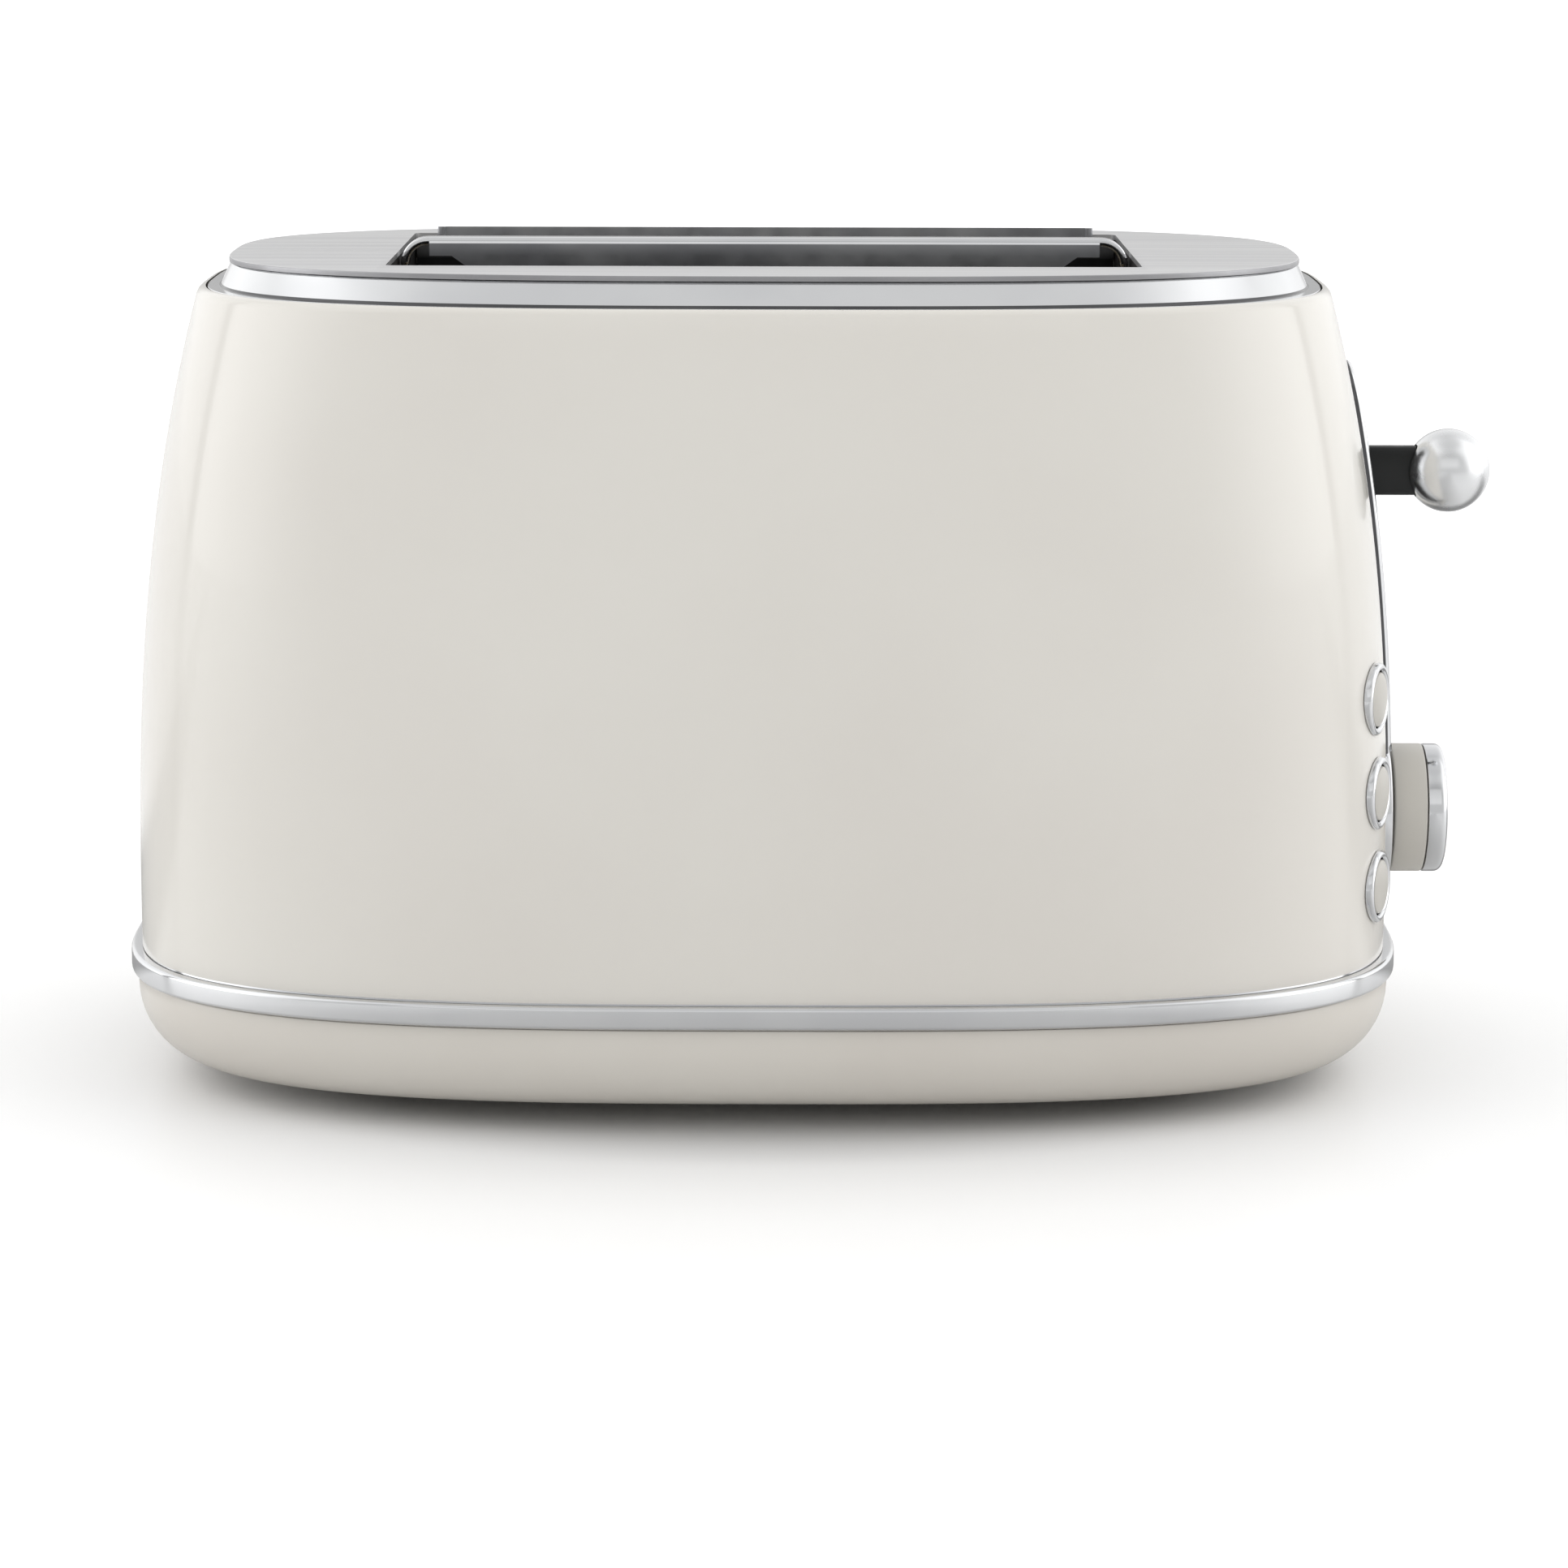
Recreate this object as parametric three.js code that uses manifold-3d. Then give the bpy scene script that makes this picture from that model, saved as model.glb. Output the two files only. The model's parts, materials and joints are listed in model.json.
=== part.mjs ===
// Two-slice pop-up toaster in millimetres, +Z up, standing on its feet at z = 0.
// The slots run along X, the front looks towards -Y and the controls are on the +X end.

import * as THREE from 'three';
import { mergeVertices } from 'three/addons/utils/BufferGeometryUtils.js';
import Module from 'manifold-3d';

const wasm = await Module();
wasm.setup();

// ---- Clearances ----
const seat = 0.3; // between pieces that rest on or hold each other
const running = 0.35; // round a rod or shaft that moves
const reveal = 0.4; // shadow gap between two visible skins
const past = 1; // how far a cutting tool runs past what it cuts

// ---- Heights of the stack ----
const footHeight = 4.5;
const bowlHeight = 20;
const bandHeight = 5;
const shellHeight = 148.4;
const collarHeight = 4.8;
const plateThickness = 1.2;

// ---- Body shell ----
const shellHalfWidth = 141.7;
const shellHalfDepth = 85.6;
const widthTaper = 15.4; // what each end draws in by at the top
const depthTaper = 7.6; // what the front and back draw in by at the top
const taperPower = 2.45;
const straightHeight = 10; // upright stretch at the foot of the shell
const cornerPower = 3.1; // plan outline: 2 is an ellipse, more is squarer
const shellWall = 1.6;
const lipRadius = 1.6;
const lipDepth = 1.5;

// ---- Base bowl and band ----
const bowlProud = 0.9;
const bowlRadius = 17;
const bowlWall = 2.8;
const bandProud = 2.4;
const bandEdge = 0.7; // chamfer along the band's outer edges
const bandInset = 4;
const bossRadius = 6;
const bossOffset = 16.2; // from the outside of an end plate to a boss
const bossY = 46;
const ventWidth = 2.6;
const ventLength = 30;
const ventPitch = 8;
const ventMargin = 14; // from the tray's side to the first vent
const ventCount = 3;

// ---- Feet and chassis ----
const footRadius = 9;
const footFlatRadius = 7.4;
const footEdge = 1.6;
const footDraft = 0.8;
const footPegRadius = 2.4;
const footPegLength = 8;
const footBossRadius = 5;
const footOffset = 14; // from the tray's side to the middle of a foot
const footY = 31; // well in under the bowl, out of sight
const chassisDrop = 2.3; // from the bowl's rim down to the bosses
const chassisThickness = 1.5;
const chassisMargin = 4; // past the end plates' edges
const chassisLedge = 10.3; // kept inside each end plate, beside the crumb opening
const chassisSideLedge = 2.2; // kept inside each reflector
const chassisEndMargin = 1.9;
const chassisBowlGap = 2;
const screwHeadRadius = 3;
const screwHeadHeight = 1.8;
const screwShankRadius = 1.4;
const screwShankLength = 8;

// ---- Top ----
const ledgeWidth = 2.9; // ledge that shows between the collar and the shell's lip
const ledgeThickness = 0.8;
const collarDraft = 2; // what the ends lean in by
const collarDepthDraft = 5.9; // what the front and back lean in by
const collarFoot = 0.4;
const collarPower = 3;
const collarWall = 1.4;
const plateOverhang = 0.3;
const plateEdge = 0.4;
const slotEndMargin = 39.1; // plate that is left past each end of the slots
const slotFrontMargin = 1; // from the outer guard to the mouth's front edge
const slotRearMargin = 5.4; // from the outer guard to the mouth's rear edge
const slotCornerRadius = 1.5;

// ---- Divider between the slots ----
const dividerRise = 3;
const dividerWidth = 6.4;
const dividerSheet = 1.2;
const dividerRoll = 1.4;
const dividerDepth = 12;
const dividerMitre = 11;
const flangeLipDepth = 3; // what is left of the flanges between mitre and tongue
const flangeLipLength = 5;
const tongueLength = 6.5; // each end narrows to a tongue that curls down
const tongueRadius = 6;
const tongueThickness = 1.8;
const tongueTip = 0.8;
const tongueDrop = 7.6;
const tongueInset = 0.6;
const upstandRise = 1.6; // rear flange that stands above the plate
const upstandInset = 6.3;
const upstandSheet = 0.9;
const upstandRoll = 0.95; // radius of its rolled ends

// ---- Toasting chamber ----
const endPlateSheet = 1.2;
const endPlateMargin = 2; // past the reflectors
const endPlateCorner = 2;
const reflectorGap = 2.7; // behind an outer heater board
const reflectorSheet = 0.8;
const reflectorRise = 12.5; // above the chassis
const outerBoardGap = 4.6; // behind an outer guard at rest
const boardThickness = 1;
const boardRise = 22.5; // above the chassis
const boardDrop = 18; // below the top plate
const ribbonWidth = 1.6;
const ribbonThickness = 0.35;
const ribbonRows = 7;
const ribbonMargin = 11; // above and below the rows
const ribbonEndMargin = 16.3;

// ---- Bread guards ----
const guardWireRadius = 0.9;
const guardInnerY = 6;
const guardOuterY = 42;
const guardTravel = 5;
const guardDrop = 16; // below the top plate
const guardRise = 16.5; // above the chassis
const guardWires = 7;
const guardEndMargin = 10.3;
const guardRodOverrun = 1.7;

// ---- Carriage ----
const carriageTravel = 46; // from rest down to the latched place
const extraLift = 10; // from rest up, to reach short slices
const rackDrop = 46.2; // from the lever down to the racks
const rackHeight = 8;
const rackSheet = 1.5;
const rackWings = 6;
const rackEndMargin = 16.3;
const rackWingHalfWidth = 7;
const rackWingHeight = 4;
const rackWingThickness = 2;
const rackTip = 4.3; // past the far end plate
const rackSlotClearance = 1.2;
const rackSlotOverrun = 2;
const carriageSheet = 1.5;
const carriageStandOff = 2.7; // from the end plate to the carriage plate
const carriageSideMargin = 6; // past the racks
const carriageBottomMargin = 4; // below the racks
const carriageTopMargin = 2.4; // above the lever's stem
const carriageCorner = 3;
const sliderDepth = 13.7;
const sliderBottomMargin = 6.6; // below the lever's stem
const sliderSideMargin = 6; // past the guide rods' axes
const sliderCorner = 2;
const rodRadius = 2.5;
const rodY = 12;
const rodOverrun = 1.8; // past the chassis and the bracket
const bracketDrop = 11; // below the top plate
const bracketSheet = 1.5;
const bracketMargin = 2;
const bracketCorner = 3;
const legHalfWidth = 6;
const legThickness = 6;
const armatureThickness = 2.3;
const armatureHalfLength = 9;
const armatureHalfWidth = 7.5;
const armatureDrop = 18.1; // from the slider down to the armature
const springGap = 2.6; // between the slider and the spring
const springY = 14;
const springTabDrop = 10; // from the slider down to the spring's tab
const springTabThickness = 2;
const springRadius = 3.4;
const springWire = 0.5;
const springTurns = 7;

// ---- Lever ----
const leverRise = 111.2; // from the chassis to the middle of the lever
const stemHeight = 11.2;
const stemWidth = 5.2;
const stemCorner = 1.6;
const ballRadius = 9.5;
const ballStandOff = 20.2; // from the shell to the middle of the ball
const ballSocket = 4;
const slotSideClearance = 1.2;
const slotEndClearance = 1.6;
const trimHalfWidth = 10;
const trimProud = 2.2;
const trimBorder = 8;
const skinGap = 0.2; // between a trim piece and the shell it lies on

// ---- Knob ----
const knobRise = 26.9; // from the foot of the shell to the knob's axis
const knobRadius = 14.75;
const knobBodyDepth = 7.7;
const knobCapDepth = 4.5;
const knobEdge = 1.8;
const knobChamfer = 0.5;
const knobSeam = 0.2;
const knobShaftRadius = 3;
const knobBoreDepth = 5;
const shaftHoleClearance = 1.5;
const ringRadius = 17;
const ringProud = 2;
const pointerWidth = 1.6;
const pointerDepth = 0.8;
const pointerLength = 7;

// ---- Push buttons ----
const buttonY = -41;
const buttonRise = 16.9; // from the foot of the shell to the lowest button
const buttonPitch = 21.15;
const buttonCount = 3;
const buttonRadius = 6;
const buttonProud = 2;
const buttonDome = 0.7;
const buttonEdge = 0.5;
const buttonBodyDepth = 5;
const buttonTravel = 1.5;
const buttonStemRadius = 2.2;
const bezelRadius = 8.1;
const bezelProud = 1.3;
const bezelCrown = 0.9;
const bezelWall = 0.9;
const bezelCollarDepth = 5;

// ---- Electrics ----
const boardGap = 6.6; // from the return spring to the control board
const boardSheet = 1.6;
const boardPotMargin = 8;
const boardSwitchMargin = 11;
const boardRear = 30;
const switchSize = 6;
const switchHeight = 3.5;
const switchClearance = 1.1; // under a button that is pressed home
const potRadius = 8.5;
const potDepth = 7.6;
const magnetHalfWidth = 6;
const magnetHalfLength = 10;
const magnetYoke = 5;
const magnetLeg = 4;
const coilWall = 2.4;
const coilCorner = 1.5;
const coilDrop = 2.6; // below the magnet's pole faces
const glandMargin = 9; // from the tray's face to the gland's flange
const glandRise = 12.5;
const glandFlangeRadius = 6.4;
const glandTubeRadius = 4.6;
const glandBore = 3.4;
const glandProud = 3.8;
const glandDepth = 13;
const glandFlangeDepth = 8;
const glandEdge = 0.8;

// ---- Crumb tray ----
const trayHalfWidth = 74;
const trayOverlap = 7; // past the front of the crumb opening
const trayRim = 7;
const traySheet = 1;
const trayFaceMargin = 2;
const trayFaceRise = 4; // above the bowl's underside
const trayFaceHeight = 12;
const trayFaceDepth = 12.5;
const trayScoopRadius = 9;
const trayScoopHalfWidth = 20;
const railInset = 10;
const railWidth = 3;
const railHeight = 3;
const railEnd = 2; // how far the rails stop short of the tray's face
const mouthDepth = 4; // how far the tray's mouth is cut in past the face

// ---- Facets ----
const ovalSegments = 40;
const roundSegments = 24;
const buttonSegments = 16;
const ballSegments = 20;
const smallSegments = 10;
const wireSegments = 5;
const screwSegments = 8;
const shellRows = 6;
const cutRows = 8;
const nearlyRound = 0.95; // corner radius of a round-ended slot, as a share of its half width

// ---- Heights worked out from the sizes ----
const bowlBottom = footHeight;
const bowlTop = bowlBottom + bowlHeight;
const footPegTop = bowlBottom + footPegLength;
const bandBottom = bowlTop + seat;
const bandTop = bandBottom + bandHeight;
const shellBottom = bandTop + seat;
const shellTop = shellBottom + shellHeight;
const taperStart = shellBottom + straightHeight;
const ledgeTop = shellTop;
const ledgeBottom = ledgeTop - ledgeThickness;
const collarTop = ledgeTop + collarHeight;
const plateBottom = collarTop + seat;
const plateTop = plateBottom + plateThickness;
const bossTop = bowlTop - chassisDrop;
const chassisBottom = bossTop + seat;
const chassisTop = chassisBottom + chassisThickness;
const reflectorFoot = chassisTop + reflectorRise;
const boardBottom = chassisTop + boardRise;
const boardTop = plateBottom - boardDrop;
const guardBottom = chassisTop + guardRise;
const guardTop = plateBottom - guardDrop;
const leverZ = chassisTop + leverRise;
const rackTop = leverZ - rackDrop;
const carriageBottom = rackTop - rackHeight - carriageBottomMargin;
const carriageTop = leverZ + stemHeight / 2 + carriageTopMargin;
const sliderBottom = leverZ - stemHeight / 2 - sliderBottomMargin;
const armatureBottom = sliderBottom - armatureDrop;
const springTabTop = sliderBottom - springTabDrop + springTabThickness;
const bracketZ = plateBottom - bracketDrop;
const magnetTop = armatureBottom - carriageTravel - seat;
const magnetBottom = chassisTop + seat;
const knobZ = shellBottom + knobRise;
const buttonZ = steps(buttonCount - 1, shellBottom + buttonRise, shellBottom + buttonRise
  + (buttonCount - 1) * buttonPitch);
const glandZ = bowlBottom + glandRise;
const trayBottom = bowlBottom + bowlWall + railHeight + seat;
const trayFaceBottom = bowlBottom + trayFaceRise;
const trayFaceTop = trayFaceBottom + trayFaceHeight;

// ---- Places in plan worked out from the sizes ----
const bowlHalf = { a: shellHalfWidth + bowlProud, b: shellHalfDepth + bowlProud };
const collarHalf = {
  a: shellHalfWidth - widthTaper - lipRadius - reveal - ledgeWidth,
  b: shellHalfDepth - depthTaper - lipRadius - reveal - ledgeWidth,
};
const slotHalfLength = collarHalf.a - slotEndMargin;
const rackY = (guardInnerY + guardOuterY) / 2;
const outerBoardY = guardOuterY + guardWireRadius + outerBoardGap;
const reflectorY = outerBoardY + boardThickness + reflectorGap;
const endPlateHalfDepth = reflectorY + reflectorSheet + endPlateMargin;
const slotFrontY = -guardOuterY - slotFrontMargin;
const slotRearY = guardOuterY + slotRearMargin;
const chassisHalfDepth = endPlateHalfDepth + chassisMargin;
const crumbHalfX = slotHalfLength - chassisLedge;
const crumbHalfY = reflectorY - chassisSideLedge;
const endPlateX = slotHalfLength + seat;
const endPlateOuter = endPlateX + endPlateSheet;
const bossX = endPlateOuter + bossOffset;
const footX = trayHalfWidth + footOffset;
const carriageX = endPlateOuter + carriageStandOff;
const sliderX = carriageX + carriageSheet + seat;
const sliderOuter = sliderX + sliderDepth;
const rodX = sliderX + sliderDepth / 2;
const springX = sliderOuter + springGap + springRadius;
const boardX = springX + springRadius + boardGap;
const boardFace = boardX + boardSheet;
const guardLift = (guardTravel * extraLift) / carriageTravel;
const trayFront = -crumbHalfY - trayOverlap;
const trayFaceHalfWidth = trayHalfWidth + trayFaceMargin;
const trayFaceBack = bowlHalf.b - trayFaceDepth;
const railX = trayHalfWidth - railInset;
const glandX = trayFaceHalfWidth + glandMargin + glandFlangeRadius;

// ---- Solids ----

// Makes a closed solid of a three.js geometry, turned right side out if it is inside out.
function solid(geometry) {
  const bare = geometry.clone();
  bare.deleteAttribute('normal');
  bare.deleteAttribute('uv');
  const merged = mergeVertices(bare, 1e-4);
  const corners = merged.attributes.position;
  const index = merged.index.array;
  const faces = [];
  let volume = 0;
  const [a, b, c] = [new THREE.Vector3(), new THREE.Vector3(), new THREE.Vector3()];
  for (let i = 0; i < index.length; i += 3) {
    const [p, q, r] = [index[i], index[i + 1], index[i + 2]];
    if (p === q || q === r || r === p) continue;
    faces.push([p, q, r]);
    a.fromBufferAttribute(corners, p);
    b.fromBufferAttribute(corners, q);
    c.fromBufferAttribute(corners, r);
    volume += a.dot(b.cross(c));
  }
  const triangles = faces.flatMap(([p, q, r]) => (volume < 0 ? [p, r, q] : [p, q, r]));
  return new wasm.Manifold(new wasm.Mesh({
    numProp: 3,
    vertProperties: new Float32Array(corners.array),
    triVerts: new Uint32Array(triangles),
  }));
}

function join(...bodies) {
  return bodies.reduce((whole, body) => whole.add(body));
}

function cut(body, ...tools) {
  return tools.reduce((rest, tool) => rest.subtract(tool), body);
}

function geometryOf(body) {
  const { vertProperties, triVerts } = body.getMesh();
  const geometry = new THREE.BufferGeometry();
  geometry.setAttribute('position', new THREE.BufferAttribute(new Float32Array(vertProperties), 3));
  geometry.setIndex(new THREE.BufferAttribute(new Uint32Array(triVerts), 1));
  geometry.computeVertexNormals();
  return geometry;
}

// ---- Basic shapes: each takes its limits along the toaster's own axes ----

function block([x0, x1], [y0, y1], [z0, z1]) {
  const geometry = new THREE.BoxGeometry(x1 - x0, y1 - y0, z1 - z0);
  return geometry.translate((x0 + x1) / 2, (y0 + y1) / 2, (z0 + z1) / 2);
}

// A revolved profile of [radius, height] points about the X, Y or Z axis.
function revolved(profile, axis = 'z', segments = roundSegments) {
  const points = profile.map(([radius, height]) => new THREE.Vector2(radius, height));
  const geometry = new THREE.LatheGeometry(points, segments);
  if (axis === 'x') geometry.rotateZ(-Math.PI / 2);
  if (axis === 'z') geometry.rotateX(Math.PI / 2);
  return geometry;
}

function rod(radius, from, to, axis = 'z', segments = smallSegments) {
  return revolved([[0, from], [radius, from], [radius, to], [0, to]], axis, segments);
}

// Extrudes an outline: along 'x' it is drawn in (y, z), along 'y' in (x, z), along 'z' in (x, y).
function extruded(shape, axis, from, to, curveSegments = 8) {
  const geometry = new THREE.ExtrudeGeometry(shape, {
    depth: to - from, bevelEnabled: false, curveSegments,
  });
  geometry.translate(0, 0, from);
  const [x, y, z] = [[1, 0, 0], [0, 1, 0], [0, 0, 1]].map((v) => new THREE.Vector3(...v));
  const turn = new THREE.Matrix4();
  if (axis === 'x') turn.makeBasis(y, z, x);
  if (axis === 'y') turn.makeBasis(x, z, y);
  return geometry.applyMatrix4(turn);
}

function polygon(points) {
  return new THREE.Shape(points.map(([x, y]) => new THREE.Vector2(x, y)));
}

function roundedRectangle(x0, x1, y0, y1, radius, Kind = THREE.Shape) {
  const shape = new Kind();
  shape.moveTo(x0 + radius, y0);
  shape.lineTo(x1 - radius, y0);
  shape.absarc(x1 - radius, y0 + radius, radius, -Math.PI / 2, 0, false);
  shape.lineTo(x1, y1 - radius);
  shape.absarc(x1 - radius, y1 - radius, radius, 0, Math.PI / 2, false);
  shape.lineTo(x0 + radius, y1);
  shape.absarc(x0 + radius, y1 - radius, radius, Math.PI / 2, Math.PI, false);
  shape.lineTo(x0, y0 + radius);
  shape.absarc(x0 + radius, y0 + radius, radius, Math.PI, 1.5 * Math.PI, false);
  return shape;
}

// A lathe whose every ring is drawn out to a squared oval. Sections are { a, b, z }: half the
// width, half the depth and the height. They start and end on the axis, or close on the first.
function ovalLathe(sections, power = cornerPower) {
  const profile = sections.map(({ a, z }) => new THREE.Vector2(a, z));
  const geometry = new THREE.LatheGeometry(profile, ovalSegments);
  const position = geometry.attributes.position;
  for (let turn = 0; turn <= ovalSegments; turn += 1) {
    const angle = (turn / ovalSegments) * 2 * Math.PI;
    const [c, s] = [Math.cos(angle), Math.sin(angle)];
    const along = Math.sign(c) * Math.abs(c) ** (2 / power);
    const across = Math.sign(s) * Math.abs(s) ** (2 / power);
    sections.forEach(({ a, b, z }, row) => {
      position.setXYZ(turn * sections.length + row, a * along, b * across, z);
    });
  }
  return geometry;
}

function closeOnAxis(sections) {
  const ends = [sections[0], sections[sections.length - 1]].map(({ z }) => ({ a: 0, b: 0, z }));
  return [ends[0], ...sections, ends[1]];
}

function closeOnItself(sections) {
  return [...sections, sections[0]];
}

function steps(count, from, to) {
  return Array.from({ length: count + 1 }, (_, i) => from + ((to - from) * i) / count);
}

// ---- The body's outline ----

function taperAt(z) {
  const share = (z - taperStart) / (shellTop - taperStart);
  return Math.max(share, 0) ** taperPower;
}

function shellSection(z, offset = 0) {
  return {
    a: shellHalfWidth - widthTaper * taperAt(z) + offset,
    b: shellHalfDepth - depthTaper * taperAt(z) + offset,
    z,
  };
}

// How far out the +X end of the shell lies, a given way from its middle and up.
function endX(y, z) {
  const { a, b } = shellSection(z);
  return a * (1 - Math.abs(y / b) ** cornerPower) ** (1 / cornerPower);
}

// The shell's outline as one full solid, grown by an offset, for cutting trim that follows it.
function bodyForm(offset) {
  const heights = [shellBottom, ...steps(cutRows, taperStart, shellTop)];
  return ovalLathe(closeOnAxis(heights.map((z) => shellSection(z, offset))));
}

function trimSkin(outline, proud) {
  const sheet = solid(bodyForm(proud)).subtract(solid(bodyForm(skinGap)));
  const reach = shellHalfWidth + proud;
  return sheet.intersect(solid(extruded(outline, 'x', reach / 2, reach + past, 6)));
}

// ---- Body shell, with its lever slot, shaft hole and button holes ----

const leverSlotHalfWidth = stemWidth / 2 + slotSideClearance;
const leverSlotBottom = leverZ - stemHeight / 2 - carriageTravel - slotEndClearance;
const leverSlotTop = leverZ + stemHeight / 2 + extraLift + slotEndClearance;
const shaftHoleRadius = knobShaftRadius + shaftHoleClearance;

function leverSlot(Kind) {
  const half = leverSlotHalfWidth;
  return roundedRectangle(-half, half, leverSlotBottom, leverSlotTop, half * nearlyRound, Kind);
}

// The buttons sit square to the shell's surface, so each has a frame of its own.
function buttonFrame(z) {
  const nudge = 0.5;
  const slope = (endX(buttonY + nudge, z) - endX(buttonY - nudge, z)) / (2 * nudge);
  const frame = new THREE.Group();
  frame.position.set(endX(buttonY, z), buttonY, z);
  frame.rotation.z = -Math.atan(slope);
  frame.updateMatrix();
  return frame;
}

const buttonFrames = buttonZ.map(buttonFrame);
const bezelTubeRadius = buttonRadius + running + bezelWall;

function makeShell() {
  const outer = [shellBottom, ...steps(shellRows, taperStart, shellTop - lipRadius)];
  const lip = steps(2, 0, Math.PI / 2).slice(1);
  const inner = [shellTop - 2 * lipRadius, (shellTop + taperStart) / 2, shellBottom];
  const skin = solid(ovalLathe(closeOnItself([
    ...outer.map((z) => shellSection(z)),
    ...lip.map((angle) => shellSection(
      shellTop - lipRadius * (1 - Math.sin(angle)),
      -lipRadius * (1 - Math.cos(angle)),
    )),
    shellSection(shellTop - lipDepth, -lipRadius),
    ...inner.map((z) => shellSection(z, -shellWall)),
  ])));
  const reach = shellHalfWidth + past;
  const holes = buttonFrames.map((frame) => {
    const hole = rod(bezelTubeRadius + seat, -3 * shellWall, 3 * shellWall, 'x', buttonSegments);
    return solid(hole.applyMatrix4(frame.matrix));
  });
  return cut(
    skin,
    solid(extruded(leverSlot(THREE.Shape), 'x', reach / 2, reach)),
    solid(rod(shaftHoleRadius, reach / 2, reach, 'x').translate(0, 0, knobZ)),
    ...holes,
  );
}

// ---- Base bowl, with its tray opening, rails, bosses and vents ----

function bowlSection(z, offset) {
  return { a: bowlHalf.a + offset, b: bowlHalf.b + offset, z };
}

function bowlCurve(radius, count = 4) {
  return steps(count, -Math.PI / 2, 0).map((angle) => bowlSection(
    bowlBottom + bowlRadius + radius * Math.sin(angle),
    -bowlRadius + radius * Math.cos(angle),
  ));
}

function bowlForm(offset = 0) {
  return ovalLathe(closeOnAxis([...bowlCurve(bowlRadius + offset), bowlSection(bowlTop, offset)]));
}

function bowlCavity() {
  return ovalLathe(closeOnAxis([
    ...bowlCurve(bowlRadius - bowlWall, 3), bowlSection(bowlTop + past, -bowlWall),
  ]));
}

// How far back the bowl's rear lies, a given way along and up.
function bowlRearY(x, z) {
  const sunk = Math.max(bowlBottom + bowlRadius - z, 0);
  const { a, b } = bowlSection(z, Math.sqrt(bowlRadius ** 2 - sunk ** 2) - bowlRadius);
  return b * (1 - (x / a) ** cornerPower) ** (1 / cornerPower);
}

function corners(x, y) {
  return [[-x, -y], [x, -y], [-x, y], [x, y]];
}

const trayFaceRange = [trayFaceBack, bowlHalf.b + past];
const glandFaceY = bowlRearY(glandX, glandZ) + glandProud;

function makeBowl() {
  const tub = solid(bowlForm()).subtract(solid(bowlCavity()));
  const floor = bowlBottom + bowlWall / 2;
  const bosses = corners(bossX, bossY).map(([x, y]) => (
    solid(rod(bossRadius, floor, bossTop).translate(x, y, 0))
  ));
  const rails = [-railX, railX].map((x) => solid(block(
    [x - railWidth / 2, x + railWidth / 2],
    [trayFront, trayFaceBack - railEnd],
    [floor, trayBottom - seat],
  )));
  const footBosses = corners(footX, footY).map(([x, y]) => (
    solid(rod(footBossRadius, floor, footPegTop).translate(x, y, 0))
  ));
  const pegHoles = corners(footX, footY).map(([x, y]) => solid(
    rod(footPegRadius + seat, bowlBottom - past, footPegTop + past, 'z', screwSegments)
      .translate(x, y, 0),
  ));
  const screwHoles = corners(bossX, bossY).map(([x, y]) => solid(
    rod(screwShankRadius + seat, bossTop - screwShankLength, bossTop + past, 'z', screwSegments)
      .translate(x, y, 0),
  ));
  const vents = [-1, 1].flatMap((side) => steps(ventCount - 1, 0, ventCount - 1).map((i) => {
    const x = side * (trayHalfWidth + ventMargin + i * ventPitch);
    return solid(block(
      [x - ventWidth / 2, x + ventWidth / 2],
      [-ventLength / 2, ventLength / 2],
      [bowlBottom - past, bowlBottom + bowlWall + past],
    ));
  }));
  const mouth = solid(block(
    [-trayFaceHalfWidth - reveal, trayFaceHalfWidth + reveal],
    [trayFaceRange[0] - mouthDepth, trayFaceRange[1]],
    [trayFaceBottom - reveal, trayFaceTop + reveal],
  ));
  const cordHole = solid(
    rod(glandTubeRadius + seat, glandFaceY - 2 * glandDepth, bowlHalf.b, 'y', buttonSegments)
      .translate(glandX, 0, glandZ),
  );
  return cut(
    join(tub, ...bosses, ...footBosses, ...rails),
    ...pegHoles,
    ...screwHoles,
    ...vents,
    mouth,
    cordHole,
  );
}

// ---- Band, collar and plate ----

function makeBand() {
  const at = (offset, z) => ({ a: shellHalfWidth + offset, b: shellHalfDepth + offset, z });
  return solid(ovalLathe(closeOnItself([
    at(-bandInset, bandBottom),
    at(bandProud - bandEdge, bandBottom),
    at(bandProud, bandBottom + bandEdge),
    at(bandProud, bandTop - bandEdge),
    at(bandProud - bandEdge, bandTop),
    at(-bandInset, bandTop),
  ])));
}

// The collar leans in: a share of the lean, a distance in from its outside, and a height.
function collarSection(lean, inset, z) {
  return {
    a: collarHalf.a - lean * collarDraft - inset,
    b: collarHalf.b - lean * collarDepthDraft - inset,
    z,
  };
}

function makeCollar() {
  const rim = shellSection(shellTop, -lipRadius - reveal);
  const wall = solid(ovalLathe(closeOnItself([
    collarSection(0, 0, ledgeBottom),
    collarSection(0, 0, ledgeTop + collarFoot),
    collarSection(0.5, 0, (ledgeTop + collarTop) / 2),
    collarSection(1, 0, collarTop),
    collarSection(1, collarWall, collarTop),
    collarSection(0, collarWall, ledgeBottom),
  ]), collarPower));
  const ledge = solid(ovalLathe(closeOnAxis([
    { ...rim, z: ledgeBottom }, { ...rim, z: ledgeTop },
  ])));
  const opening = solid(ovalLathe(closeOnAxis([
    collarSection(0, collarWall, ledgeBottom - past), collarSection(0, collarWall, ledgeTop + past),
  ]), collarPower));
  return join(wall, ledge.subtract(opening));
}

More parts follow.
